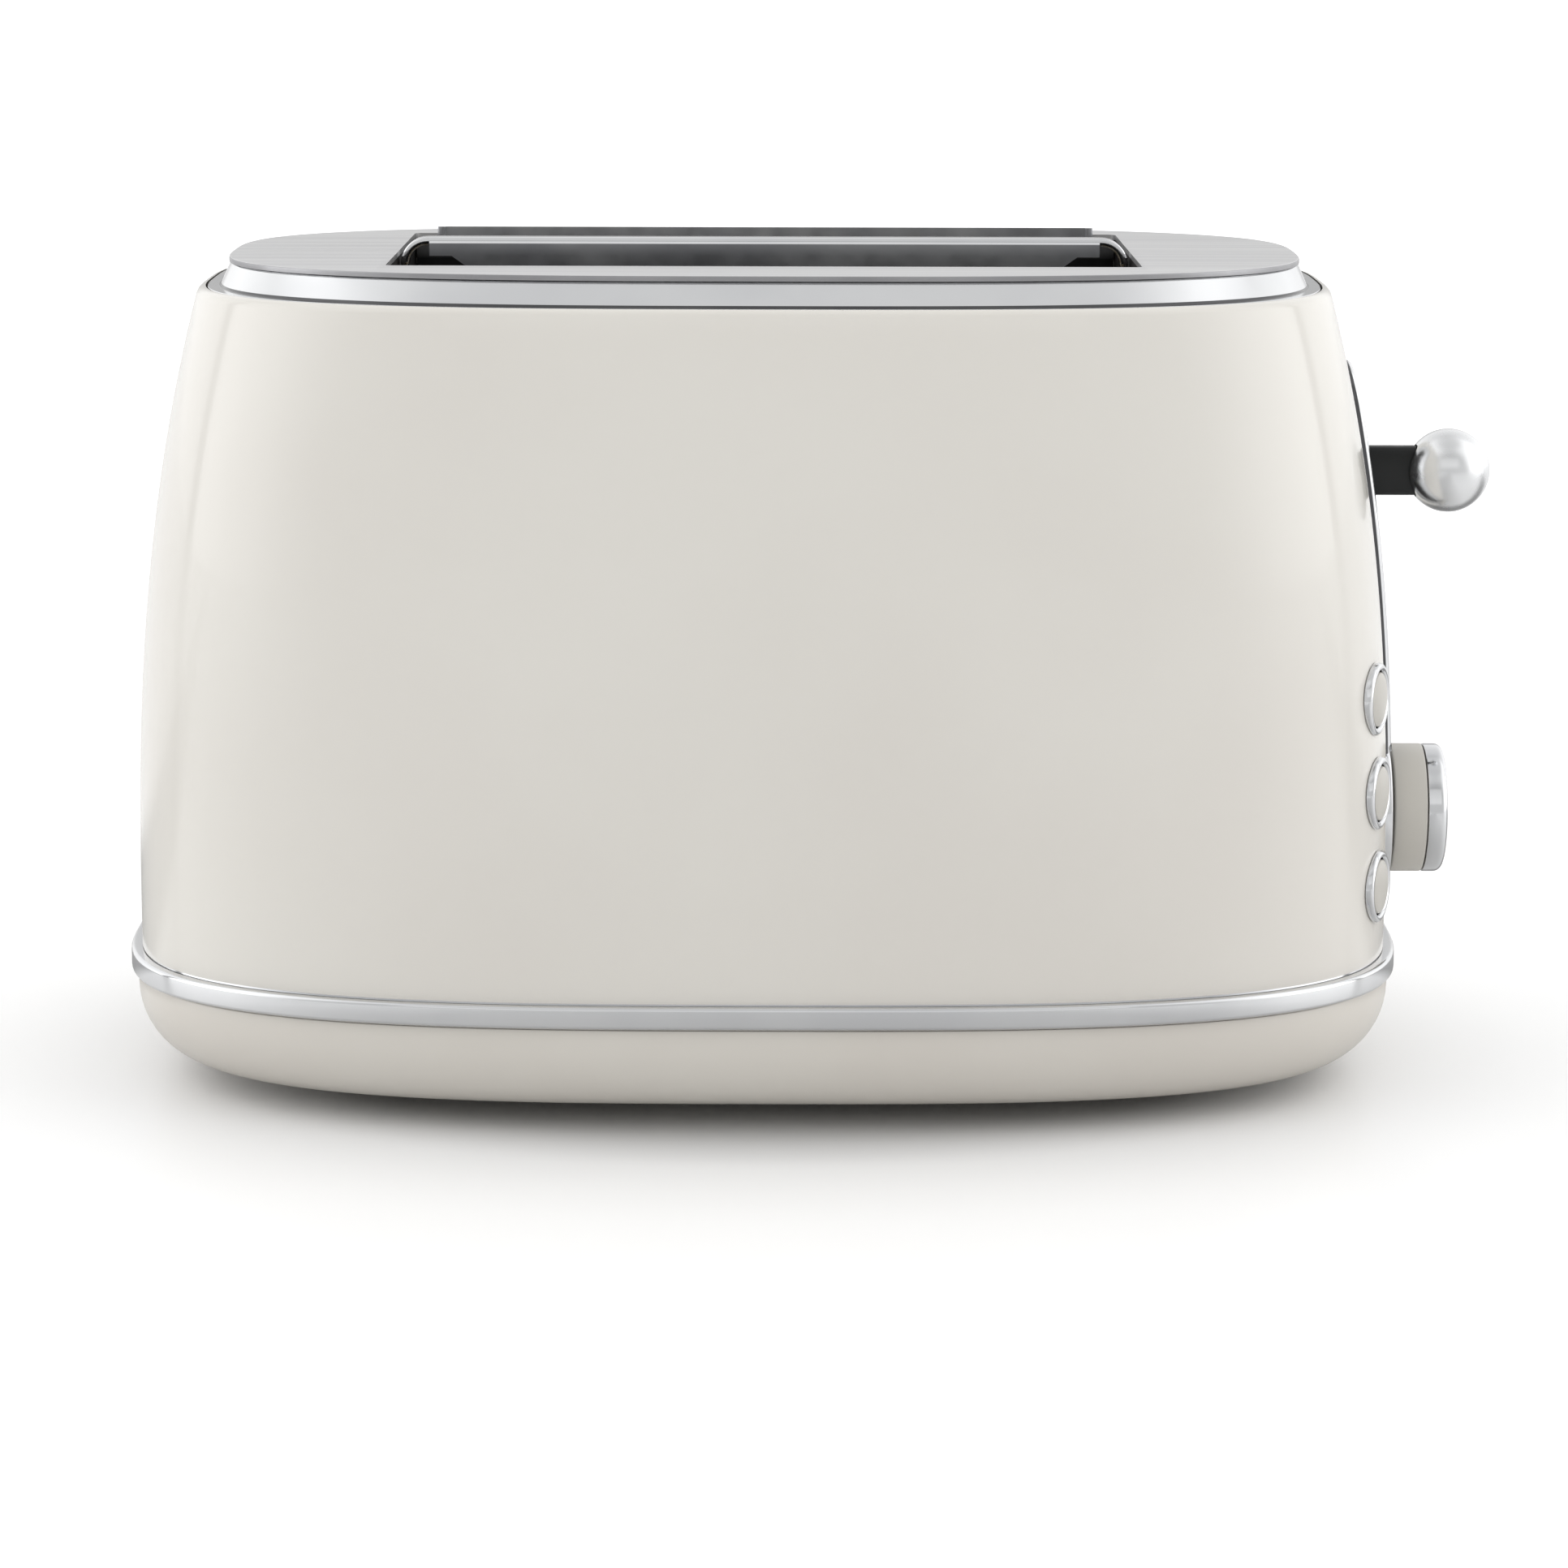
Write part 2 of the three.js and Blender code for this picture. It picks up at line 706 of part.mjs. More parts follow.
function makePlate() {
  const at = (inset, z) => collarSection(1, inset - plateOverhang, z);
  const disc = solid(ovalLathe(closeOnAxis([
    at(0, plateBottom), at(0, plateTop - plateEdge), at(plateEdge, plateTop),
  ]), collarPower));
  const mouth = roundedRectangle(
    -slotHalfLength, slotHalfLength, slotFrontY, slotRearY, slotCornerRadius,
  );
  return disc.subtract(solid(extruded(mouth, 'z', plateBottom - past, plateTop + past, 3)));
}

// ---- Divider: a folded strip with mitred flanges, whose ends curl down as tongues ----

const dividerTop = plateTop + dividerRise;
const dividerHalf = slotHalfLength - seat;
const dividerShoulder = dividerHalf - tongueLength;

// The tongue at the +X end, seen from the front.
function tongueOutline() {
  const [x, z] = [dividerHalf - tongueRadius, dividerTop - tongueRadius];
  const outline = new THREE.Shape();
  outline.moveTo(dividerShoulder - past, dividerTop);
  outline.absarc(x, z, tongueRadius, Math.PI / 2, 0, true);
  outline.lineTo(dividerHalf, dividerTop - tongueDrop);
  outline.lineTo(dividerHalf - tongueTip, dividerTop - tongueDrop);
  outline.absarc(x, z, tongueRadius - tongueThickness, 0, Math.PI / 2, false);
  outline.lineTo(dividerShoulder - past, dividerTop - tongueThickness);
  return outline;
}

function makeDivider() {
  const half = dividerWidth / 2;
  const bottom = dividerTop - dividerDepth;
  const lip = dividerTop - dividerSheet - flangeLipDepth;
  const notch = dividerShoulder - flangeLipLength;
  const side = polygon([
    [-dividerShoulder, dividerTop], [-dividerShoulder, lip], [-notch, lip],
    [dividerMitre - notch, bottom], [notch - dividerMitre, bottom],
    [notch, lip], [dividerShoulder, lip], [dividerShoulder, dividerTop],
  ]);
  const roll = roundedRectangle(-half, half, bottom - past, dividerTop, dividerRoll);
  const hollow = block(
    [-dividerHalf, dividerHalf],
    [dividerSheet - half, half - dividerSheet],
    [bottom - past, dividerTop - dividerSheet],
  );
  const strip = solid(extruded(side, 'y', -half, half))
    .intersect(solid(extruded(roll, 'x', -dividerHalf, dividerHalf, 3)))
    .subtract(solid(hollow));
  const width = half - tongueInset;
  const tongue = extruded(tongueOutline(), 'y', -width, width, 5);
  const other = tongue.clone().rotateZ(Math.PI);
  return join(strip, solid(tongue), solid(other));
}

// ---- Chamber ----

function reflectorProfile(side) {
  const edge = side < 0 ? -slotFrontY : slotRearY;
  const flangeBottom = plateBottom - seat - reflectorSheet;
  return polygon([
    [reflectorY, reflectorFoot], [reflectorY + reflectorSheet, reflectorFoot],
    [reflectorY + reflectorSheet, plateBottom - seat], [edge - seat, plateBottom - seat],
    [edge - seat, flangeBottom], [reflectorY, flangeBottom],
  ].map(([y, z]) => [side * y, z]));
}

function makeReflector(side) {
  const half = slotHalfLength;
  const sheet = solid(extruded(reflectorProfile(side), 'x', -half, half));
  if (side < 0) return sheet;
  const upstandHalf = slotHalfLength - upstandInset;
  const upstand = roundedRectangle(
    -upstandHalf, upstandHalf,
    plateBottom - seat - reflectorSheet, plateTop + upstandRise, upstandSheet,
  );
  const rearY = slotRearY - seat;
  const rolls = [-1, 1].map((end) => solid(rod(
    upstandRoll, plateBottom - seat - reflectorSheet, plateTop + upstandRise,
  ).translate(end * upstandHalf, rearY - upstandRoll, 0)));
  return join(sheet, solid(extruded(upstand, 'y', rearY - upstandSheet, rearY, 3)), ...rolls);
}

// Upright plate at an end of the chamber, slotted for the racks and for the guards' rods.
function makeEndPlate() {
  const half = endPlateHalfDepth;
  const shape = roundedRectangle(-half, half, chassisTop + seat, plateBottom - seat, endPlateCorner);
  const slot = (yRange, zRange) => solid(block([-past, endPlateSheet + past], yRange, zRange));
  const slots = [];
  const rackGap = rackSheet / 2 + rackSlotClearance;
  const reach = guardWireRadius + running;
  for (const side of [-1, 1]) {
    const y = side * rackY;
    slots.push(slot([y - rackGap, y + rackGap], [
      rackTop - rackHeight - carriageTravel - rackSlotOverrun, rackTop + extraLift + rackSlotOverrun,
    ]));
    const inner = [guardInnerY - guardLift - reach, guardInnerY + guardTravel + reach];
    const outer = [guardOuterY - guardTravel - reach, guardOuterY + guardLift + reach];
    for (const [near, far] of [inner, outer]) {
      for (const z of [guardBottom, guardTop]) {
        const range = [side * near, side * far].sort((p, q) => p - q);
        slots.push(slot(range, [z - reach, z + reach]));
      }
    }
  }
  return cut(solid(extruded(shape, 'x', 0, endPlateSheet, 1)), ...slots);
}

function makeHeaterBoard() {
  const half = slotHalfLength;
  return solid(block([-half, half], [0, boardThickness], [boardBottom, boardTop]));
}

// One flat ribbon that runs to and fro across the board.
function makeRibbon() {
  const half = slotHalfLength - ribbonEndMargin;
  const lastRow = boardTop - ribbonMargin - ribbonWidth;
  const heights = steps(ribbonRows - 1, boardBottom + ribbonMargin, lastRow);
  const rows = heights.map((z) => solid(block(
    [-half, half], [0, ribbonThickness], [z, z + ribbonWidth],
  )));
  const turns = heights.slice(1).map((z, row) => {
    const x = (row % 2 === 0 ? 1 : -1) * half;
    const range = [x, x - Math.sign(x) * ribbonWidth].sort((p, q) => p - q);
    return solid(block(range, [0, ribbonThickness], [heights[row], z + ribbonWidth]));
  });
  return join(...rows, ...turns);
}

function makeGuard() {
  const rodHalf = endPlateOuter + guardRodOverrun;
  const rails = [guardBottom, guardTop].map((z) => (
    solid(rod(guardWireRadius, -rodHalf, rodHalf, 'x', wireSegments).translate(0, 0, z))
  ));
  const half = slotHalfLength - guardEndMargin;
  const wires = steps(guardWires - 1, -half, half).map((x) => (
    solid(rod(guardWireRadius, guardBottom, guardTop, 'z', wireSegments).translate(x, 0, 0))
  ));
  return join(...rails, ...wires);
}

// ---- Carriage ----

function makeRack() {
  const strip = solid(block(
    [-endPlateOuter - rackTip, carriageX + carriageSheet],
    [-rackSheet / 2, rackSheet / 2],
    [rackTop - rackHeight, rackTop],
  ));
  const half = slotHalfLength - rackEndMargin;
  const wings = steps(rackWings - 1, -half, half).map((x) => solid(block(
    [x - rackWingThickness / 2, x + rackWingThickness / 2],
    [-rackWingHalfWidth, rackWingHalfWidth],
    [rackTop - rackWingHeight, rackTop],
  )));
  return join(strip, ...wings);
}

function makeCarriagePlate() {
  const half = rackY + carriageSideMargin;
  const shape = roundedRectangle(-half, half, carriageBottom, carriageTop, carriageCorner);
  const holes = [-rackY, rackY].map((y) => solid(block(
    [carriageX - past, sliderX],
    [y - rackSheet / 2 - seat, y + rackSheet / 2 + seat],
    [rackTop - rackHeight - seat, rackTop + seat],
  )));
  return cut(solid(extruded(shape, 'x', carriageX, carriageX + carriageSheet, 3)), ...holes);
}

function makeSlider() {
  const half = rodY + sliderSideMargin;
  const main = solid(extruded(
    roundedRectangle(sliderX, sliderOuter, -half, half, sliderCorner), 'z', sliderBottom, carriageTop, 3,
  ));
  const legBottom = armatureBottom + armatureThickness + seat;
  const shoulder = legThickness / 2;
  const leg = solid(block(
    [sliderOuter - shoulder, sliderOuter + shoulder],
    [-legHalfWidth, legHalfWidth],
    [legBottom, sliderBottom + past],
  ));
  const tab = solid(block(
    [sliderOuter - shoulder, springX + springRadius],
    [0, springY + springRadius],
    [springTabTop - springTabThickness, springTabTop],
  ));
  const bores = [-rodY, rodY].map((y) => solid(
    rod(rodRadius + running, sliderBottom - past, carriageTop + past).translate(rodX, y, 0),
  ));
  const gusset = polygon([
    [sliderOuter - past, sliderBottom + past], [sliderOuter + shoulder, sliderBottom],
    [sliderOuter - past, sliderBottom + 3 * shoulder],
  ]);
  const brace = solid(extruded(gusset, 'y', -legHalfWidth, -stemWidth / 2 - seat));
  return cut(join(main, leg, tab, brace), ...bores);
}

function makeSpring() {
  const bottom = springTabTop + seat + springWire;
  const top = bracketZ - seat - springWire;
  class Coil extends THREE.Curve {
    getPoint(t, target = new THREE.Vector3()) {
      const angle = t * springTurns * 2 * Math.PI;
      return target.set(
        springX + (springRadius - springWire) * Math.cos(angle),
        springY + (springRadius - springWire) * Math.sin(angle),
        bottom + (top - bottom) * t,
      );
    }
  }
  const section = new THREE.Shape();
  section.absarc(0, 0, springWire, 0, 2 * Math.PI, false);
  return solid(new THREE.ExtrudeGeometry(section, {
    steps: springTurns * 8, extrudePath: new Coil(), curveSegments: 3, bevelEnabled: false,
  }));
}

function makeBracket() {
  const inner = endPlateOuter + seat;
  const outer = springX + springRadius + bracketMargin;
  const half = springY + springRadius + bracketMargin;
  const sheet = solid(extruded(
    roundedRectangle(inner, outer, -half, half, bracketCorner), 'z', bracketZ, bracketZ + bracketSheet, 3,
  ));
  const holes = [-rodY, rodY].map((y) => solid(
    rod(rodRadius + seat, bracketZ - past, bracketZ + bracketSheet + past).translate(rodX, y, 0),
  ));
  return cut(sheet, ...holes);
}

// ---- Lever ----

const ballX = endX(0, leverZ) + ballStandOff;
const stemEnd = ballX - ballRadius + ballSocket;

function stemBlock(grow, from, to) {
  const halfWidth = stemWidth / 2 + grow;
  const halfHeight = stemHeight / 2 + grow;
  const shape = roundedRectangle(
    -halfWidth, halfWidth, leverZ - halfHeight, leverZ + halfHeight, stemCorner + grow,
  );
  return solid(extruded(shape, 'x', from, to, 3));
}

function makeBall() {
  const ball = new THREE.SphereGeometry(ballRadius, ballSegments, ballSegments / 2).rotateZ(-Math.PI / 2);
  ball.translate(ballX, 0, leverZ);
  return solid(ball).subtract(stemBlock(seat, ballX - 2 * ballRadius, stemEnd + seat));
}

function makeLeverTrim() {
  const top = leverSlotTop + trimBorder;
  const outline = roundedRectangle(
    -trimHalfWidth, trimHalfWidth, knobZ, top, trimHalfWidth * nearlyRound,
  );
  outline.holes.push(leverSlot(THREE.Path));
  const ringRoom = solid(
    rod(ringRadius + reveal, 0, 2 * shellHalfWidth, 'x', roundSegments).translate(0, 0, knobZ),
  );
  return trimSkin(outline, trimProud).subtract(ringRoom);
}

// ---- Knob: its parts are drawn about their own axis, from the ring's face outwards ----

const knobX = endX(0, knobZ) + ringProud + reveal;

function makeKnobRing() {
  const outline = new THREE.Shape();
  outline.absarc(0, knobZ, ringRadius, 0, 2 * Math.PI, false);
  const hole = new THREE.Path();
  hole.absarc(0, knobZ, shaftHoleRadius, 0, 2 * Math.PI, true);
  outline.holes.push(hole);
  return trimSkin(outline, ringProud);
}

function makeKnobBody() {
  const bore = knobShaftRadius + seat;
  const front = knobBodyDepth - knobSeam;
  return solid(revolved([
    [0, knobBoreDepth], [bore, knobBoreDepth], [bore, 0], [knobRadius - knobChamfer, 0],
    [knobRadius, knobChamfer], [knobRadius, front], [0, front],
  ], 'x'));
}

function makeKnobCap() {
  const front = knobBodyDepth + knobCapDepth;
  const rim = steps(4, 0, Math.PI / 2).map((angle) => [
    knobRadius - knobEdge * (1 - Math.cos(angle)),
    front - knobEdge * (1 - Math.sin(angle)),
  ]);
  const disc = solid(revolved([[0, knobBodyDepth], [knobRadius, knobBodyDepth], ...rim, [0, front]], 'x'));
  const start = knobRadius - knobEdge - pointerLength;
  const pointer = block(
    [front - pointerDepth, front + past],
    [-pointerWidth / 2, pointerWidth / 2],
    [start, start + pointerLength],
  );
  return disc.subtract(solid(pointer));
}

function makeKnobShaft() {
  const end = boardFace + potDepth + 2 * seat - knobX;
  return solid(rod(knobShaftRadius, end, knobBoreDepth - seat, 'x'));
}

// ---- Push buttons, drawn in their own frames with X pointing out ----

function makeBezel(frame) {
  const bore = buttonRadius + running;
  const [middle, half] = [(bezelRadius + bore) / 2, (bezelRadius - bore) / 2];
  const crown = steps(4, 0, Math.PI).map((angle) => [
    middle + half * Math.cos(angle), bezelProud - bezelCrown * (1 - Math.sin(angle)),
  ]);
  const ring = revolved([
    [bore, -bezelCollarDepth], [bezelTubeRadius, -bezelCollarDepth],
    [bezelTubeRadius, -2 * shellWall], [bezelRadius, -2 * shellWall],
    ...crown, [bore, -bezelCollarDepth],
  ], 'x', buttonSegments);
  const shell = bodyForm(skinGap).applyMatrix4(frame.matrix.clone().invert());
  const hole = rod(bezelTubeRadius, -4 * shellWall, 4 * shellWall, 'x', buttonSegments);
  return solid(ring).subtract(solid(shell).subtract(solid(hole)));
}

function makeButton(frame) {
  const outward = Math.cos(frame.rotation.z);
  const switchFace = boardFace + switchHeight;
  const stemEndX = (switchFace - frame.position.x) / outward + buttonTravel + switchClearance;
  const dome = steps(3, 0, 1).map((t) => [
    (buttonRadius - buttonEdge) * (1 - t), buttonProud - buttonDome * (1 - t) ** 2,
  ]);
  return solid(revolved([
    [0, stemEndX], [buttonStemRadius, stemEndX], [buttonStemRadius, -buttonBodyDepth],
    [buttonRadius, -buttonBodyDepth], [buttonRadius, buttonProud - buttonDome - buttonEdge], ...dome,
  ], 'x', buttonSegments));
}

// ---- Electrics ----

function makeControlBoard() {
  const bottom = chassisTop + seat;
  const potTop = knobZ + potRadius + boardPotMargin;
  const switchTop = buttonZ[buttonCount - 1] + boardSwitchMargin;
  const [front, step] = [buttonY - boardSwitchMargin, buttonY + 2 * boardSwitchMargin];
  const shape = polygon([
    [front, bottom], [boardRear, bottom], [boardRear, potTop], [step, potTop],
    [step, switchTop], [front, switchTop],
  ]);
  const sheet = solid(extruded(shape, 'x', boardX, boardFace));
  const switches = buttonFrames.map((frame) => {
    const reach = frame.position.x - boardFace - switchHeight;
    const y = buttonY - reach * Math.tan(frame.rotation.z);
    return solid(block(
      [boardX, boardFace + switchHeight],
      [y - switchSize / 2, y + switchSize / 2],
      [frame.position.z - switchSize / 2, frame.position.z + switchSize / 2],
    ));
  });
  return join(sheet, ...switches);
}

function makeMagnetCore() {
  const [left, right] = [sliderOuter - magnetHalfLength, sliderOuter + magnetHalfLength];
  const room = magnetHalfLength - magnetLeg;
  const yokeTop = magnetBottom + magnetYoke;
  const shape = polygon([
    [left, magnetBottom], [right, magnetBottom], [right, magnetTop],
    [sliderOuter + room, magnetTop], [sliderOuter + room, yokeTop],
    [sliderOuter + magnetLeg / 2, yokeTop], [sliderOuter + magnetLeg / 2, magnetTop],
    [sliderOuter - magnetLeg / 2, magnetTop], [sliderOuter - magnetLeg / 2, yokeTop],
    [sliderOuter - room, yokeTop], [sliderOuter - room, magnetTop], [left, magnetTop],
  ]);
  return solid(extruded(shape, 'y', -magnetHalfWidth, magnetHalfWidth));
}

function makeMagnetCoil() {
  const bore = magnetLeg / 2 + seat;
  const outer = bore + coilWall;
  const deep = magnetHalfWidth + seat;
  const shape = roundedRectangle(
    sliderOuter - outer, sliderOuter + outer, -deep - coilWall, deep + coilWall, coilCorner,
  );
  const [bottom, top] = [magnetBottom + magnetYoke + seat, magnetTop - coilDrop];
  const hole = block([sliderOuter - bore, sliderOuter + bore], [-deep, deep], [bottom - past, top + past]);
  return solid(extruded(shape, 'z', bottom, top, 3)).subtract(solid(hole));
}

function makeGland() {
  const innerY = glandFaceY - glandDepth;
  const flangeY = glandFaceY - glandFlangeDepth;
  const profile = [
    [glandBore, innerY], [glandTubeRadius, innerY], [glandTubeRadius, flangeY],
    [glandFlangeRadius, flangeY], [glandFlangeRadius, glandFaceY - glandEdge],
    [glandFlangeRadius - glandEdge, glandFaceY], [glandBore + glandEdge, glandFaceY],
    [glandBore, glandFaceY - glandEdge], [glandBore, innerY],
  ];
  const bush = solid(revolved(profile, 'y', buttonSegments).translate(glandX, 0, glandZ));
  const tube = solid(
    rod(glandTubeRadius, 0, 2 * glandFaceY, 'y', buttonSegments).translate(glandX, 0, glandZ),
  );
  return bush.subtract(solid(bowlForm(skinGap)).subtract(tube));
}

// ---- Crumb tray ----

function makeTray() {
  const half = trayHalfWidth;
  const rear = trayFaceBack - seat;
  const pan = block([-half, half], [trayFront, rear], [trayBottom, trayBottom + trayRim]);
  const inside = block(
    [-half + traySheet, half - traySheet],
    [trayFront + traySheet, rear - traySheet],
    [trayBottom + traySheet, trayBottom + trayRim + past],
  );
  return solid(pan).subtract(solid(inside));
}

function makeTrayFace() {
  const panel = solid(bowlForm()).intersect(solid(block(
    [-trayFaceHalfWidth, trayFaceHalfWidth], trayFaceRange, [trayFaceBottom, trayFaceTop],
  )));
  const scoop = rod(trayScoopRadius, -trayScoopHalfWidth, trayScoopHalfWidth, 'x', roundSegments);
  scoop.translate(0, bowlHalf.b + trayScoopRadius / 2, trayFaceBottom);
  return panel.subtract(solid(scoop));
}

// ---- Feet and screws, drawn about their own axis from z = 0 ----

function makeFoot() {
  const top = footHeight - seat;
  const disc = solid(revolved([
    [0, 0], [footFlatRadius, 0], [footRadius, footEdge], [footRadius - footDraft, top], [0, top],
  ], 'z', buttonSegments));
  return disc.add(solid(rod(footPegRadius, footEdge, footPegTop - seat, 'z', screwSegments)));
}

function makeScrew() {
  return solid(revolved([
    [0, seat - chassisThickness - screwShankLength],
    [screwShankRadius, seat - chassisThickness - screwShankLength],
    [screwShankRadius, 0], [screwHeadRadius, 0],
    [screwHeadRadius, screwHeadHeight / 2], [screwHeadRadius / 2, screwHeadHeight],
    [0, screwHeadHeight],
  ], 'z', screwSegments));
}

function makeChassis() {
  const right = boardFace + chassisEndMargin;
  const inset = -bowlWall - chassisBowlGap;
  const sheet = solid(ovalLathe(closeOnAxis([
    bowlSection(chassisBottom, inset), bowlSection(chassisTop, inset),
  ]))).intersect(solid(block(
    [-right, right], [-chassisHalfDepth, chassisHalfDepth], [chassisBottom, chassisTop],
  )));
  const crumbHole = solid(block(
    [-crumbHalfX, crumbHalfX], [-crumbHalfY, crumbHalfY], [chassisBottom - past, chassisTop + past],
  ));
  const holes = [
    ...[-rodY, rodY].map((y) => [rodX, y, rodRadius, smallSegments]),
    ...corners(bossX, bossY).map(([x, y]) => [x, y, screwShankRadius, screwSegments]),
  ].map(([x, y, radius, segments]) => solid(
    rod(radius + seat, chassisBottom - past, chassisTop + past, 'z', segments).translate(x, y, 0),
  ));
  return cut(sheet, crumbHole, ...holes);
}

// ---- Materials ----

const finishes = {
  cream: { color: 0xd8d2ca, roughness: 0.25, metalness: 0 },
  polished: { color: 0xe2e2e2, roughness: 0.12, metalness: 1 },
  brushed: { color: 0xcccccc, roughness: 0.35, metalness: 1 },
  sheet: { color: 0x8f9092, roughness: 0.45, metalness: 1 },
  black: { color: 0x1e2021, roughness: 0.4, metalness: 0 },
  rubber: { color: 0x232323, roughness: 0.9, metalness: 0 },
  mica: { color: 0xb8a98c, roughness: 0.7, metalness: 0 },
  ribbon: { color: 0x77706a, roughness: 0.4, metalness: 1 },
  nylon: { color: 0xe8e6df, roughness: 0.6, metalness: 0 },
  circuit: { color: 0x2f6b45, roughness: 0.6, metalness: 0 },
  copper: { color: 0xb06a3b, roughness: 0.4, metalness: 1 },
};

function part(name, body, finish) {
  const mesh = new THREE.Mesh(
    geometryOf(body),
    new THREE.MeshStandardMaterial({ ...finishes[finish], flatShading: true }),
  );
  mesh.name = name;
  return mesh;
}

function at(mesh, x, y, z) {
  mesh.position.set(x, y, z);
  return mesh;
}

// ---- Assembly ----

const casing = new THREE.Group();
casing.add(
  part('base_bowl', makeBowl(), 'cream'),
  part('base_band', makeBand(), 'polished'),
  part('body_shell', makeShell(), 'cream'),
  part('top_collar', makeCollar(), 'polished'),
  part('top_plate', makePlate(), 'brushed'),
  part('slot_divider', makeDivider(), 'polished'),
  part('lever_trim', makeLeverTrim(), 'polished'),
  part('knob_ring', makeKnobRing(), 'polished'),
  part('cord_gland', makeGland(), 'black'),
  part('chassis_plate', makeChassis(), 'sheet'),
);
corners(footX, footY).forEach(([x, y], i) => {
  casing.add(at(part(`foot_${i + 1}`, makeFoot(), 'rubber'), x, y, 0));
});
corners(bossX, bossY).forEach(([x, y], i) => {
  casing.add(at(part(`chassis_screw_${i + 1}`, makeScrew(), 'polished'), x, y, chassisTop + seat));
});

const chamber = new THREE.Group();
chamber.add(
  at(part('end_plate_left', makeEndPlate(), 'sheet'), -endPlateOuter, 0, 0),
  at(part('end_plate_right', makeEndPlate(), 'sheet'), endPlateX, 0, 0),
  part('reflector_front', makeReflector(-1), 'sheet'),
  part('reflector_rear', makeReflector(1), 'sheet'),
  at(part('heater_board_front', makeHeaterBoard(), 'mica'), 0, -outerBoardY - boardThickness, 0),
  at(part('heater_board_centre', makeHeaterBoard(), 'mica'), 0, -boardThickness / 2, 0),
  at(part('heater_board_rear', makeHeaterBoard(), 'mica'), 0, outerBoardY, 0),
);
const ribbonFaces = [
  -outerBoardY + seat,
  -boardThickness / 2 - seat - ribbonThickness,
  boardThickness / 2 + seat,
  outerBoardY - seat - ribbonThickness,
];
ribbonFaces.forEach((y, i) => {
  chamber.add(at(part(`heater_ribbon_${i + 1}`, makeRibbon(), 'ribbon'), 0, y, 0));
});
[-guardOuterY, -guardInnerY, guardInnerY, guardOuterY].forEach((y, i) => {
  chamber.add(at(part(`bread_guard_${i + 1}`, makeGuard(), 'polished'), 0, y, 0));
});

const carriage = new THREE.Group();
carriage.add(
  part('carriage_plate', makeCarriagePlate(), 'sheet'),
  part('carriage_slider', makeSlider(), 'nylon'),
  part('lever_stem', stemBlock(0, sliderOuter + seat, stemEnd), 'black'),
  part('lever_ball', makeBall(), 'polished'),
  part('armature', solid(block(
    [sliderOuter - armatureHalfLength, sliderOuter + armatureHalfLength],
    [-armatureHalfWidth, armatureHalfWidth],
    [armatureBottom, armatureBottom + armatureThickness],
  )), 'sheet'),
  at(part('bread_rack_front', makeRack(), 'polished'), 0, -rackY, 0),
  at(part('bread_rack_rear', makeRack(), 'polished'), 0, rackY, 0),
);

const mechanism = new THREE.Group();
const guideRod = solid(rod(
  rodRadius, chassisBottom - rodOverrun, bracketZ + bracketSheet + rodOverrun,
));
mechanism.add(
  at(part('guide_rod_front', guideRod, 'polished'), rodX, -rodY, 0),
  at(part('guide_rod_rear', guideRod, 'polished'), rodX, rodY, 0),
  part('rod_bracket', makeBracket(), 'sheet'),
  part('return_spring', makeSpring(), 'polished'),
  part('magnet_core', makeMagnetCore(), 'sheet'),
  part('magnet_coil', makeMagnetCoil(), 'copper'),
  part('control_board', makeControlBoard(), 'circuit'),
  at(
    part('potentiometer', solid(rod(potRadius, 0, potDepth, 'x', buttonSegments)), 'black'),
    boardFace + seat, 0, knobZ,
  ),
);

const knob = new THREE.Group();
knob.position.set(knobX, 0, knobZ);
knob.add(
  part('knob_body', makeKnobBody(), 'cream'),
  part('knob_cap', makeKnobCap(), 'polished'),
  part('knob_shaft', makeKnobShaft(), 'sheet'),
);

const buttons = new THREE.Group();
buttonFrames.forEach((frame, i) => {
  frame.add(part(`button_bezel_${i + 1}`, makeBezel(frame), 'polished'));
  frame.add(part(`button_cap_${i + 1}`, makeButton(frame), 'cream'));
  buttons.add(frame);
});

const drawer = new THREE.Group();
drawer.add(part('crumb_tray', makeTray(), 'sheet'), part('tray_face', makeTrayFace(), 'cream'));

// The origin lies under the middle of the whole toaster, lever included.
const group = new THREE.Group();
group.add(casing, chamber, carriage, mechanism, knob, buttons, drawer);
group.position.x = (shellHalfWidth + bandProud - ballX - ballRadius) / 2;

export default group;
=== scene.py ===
# %% [markdown]
# # A pop-up toaster, from measured parts to a finished look
# The toaster has already been drawn as an assembly of measured parts. Those parts are loaded
# first and never change: they say where everything is and how it moves. On top of them this
# lesson makes the surfaces that the eye sees, one piece at a time, and gives every part a finish.

# %% Load the measured parts
import json
import math

import bmesh
import bpy
from mathutils import Matrix, Vector


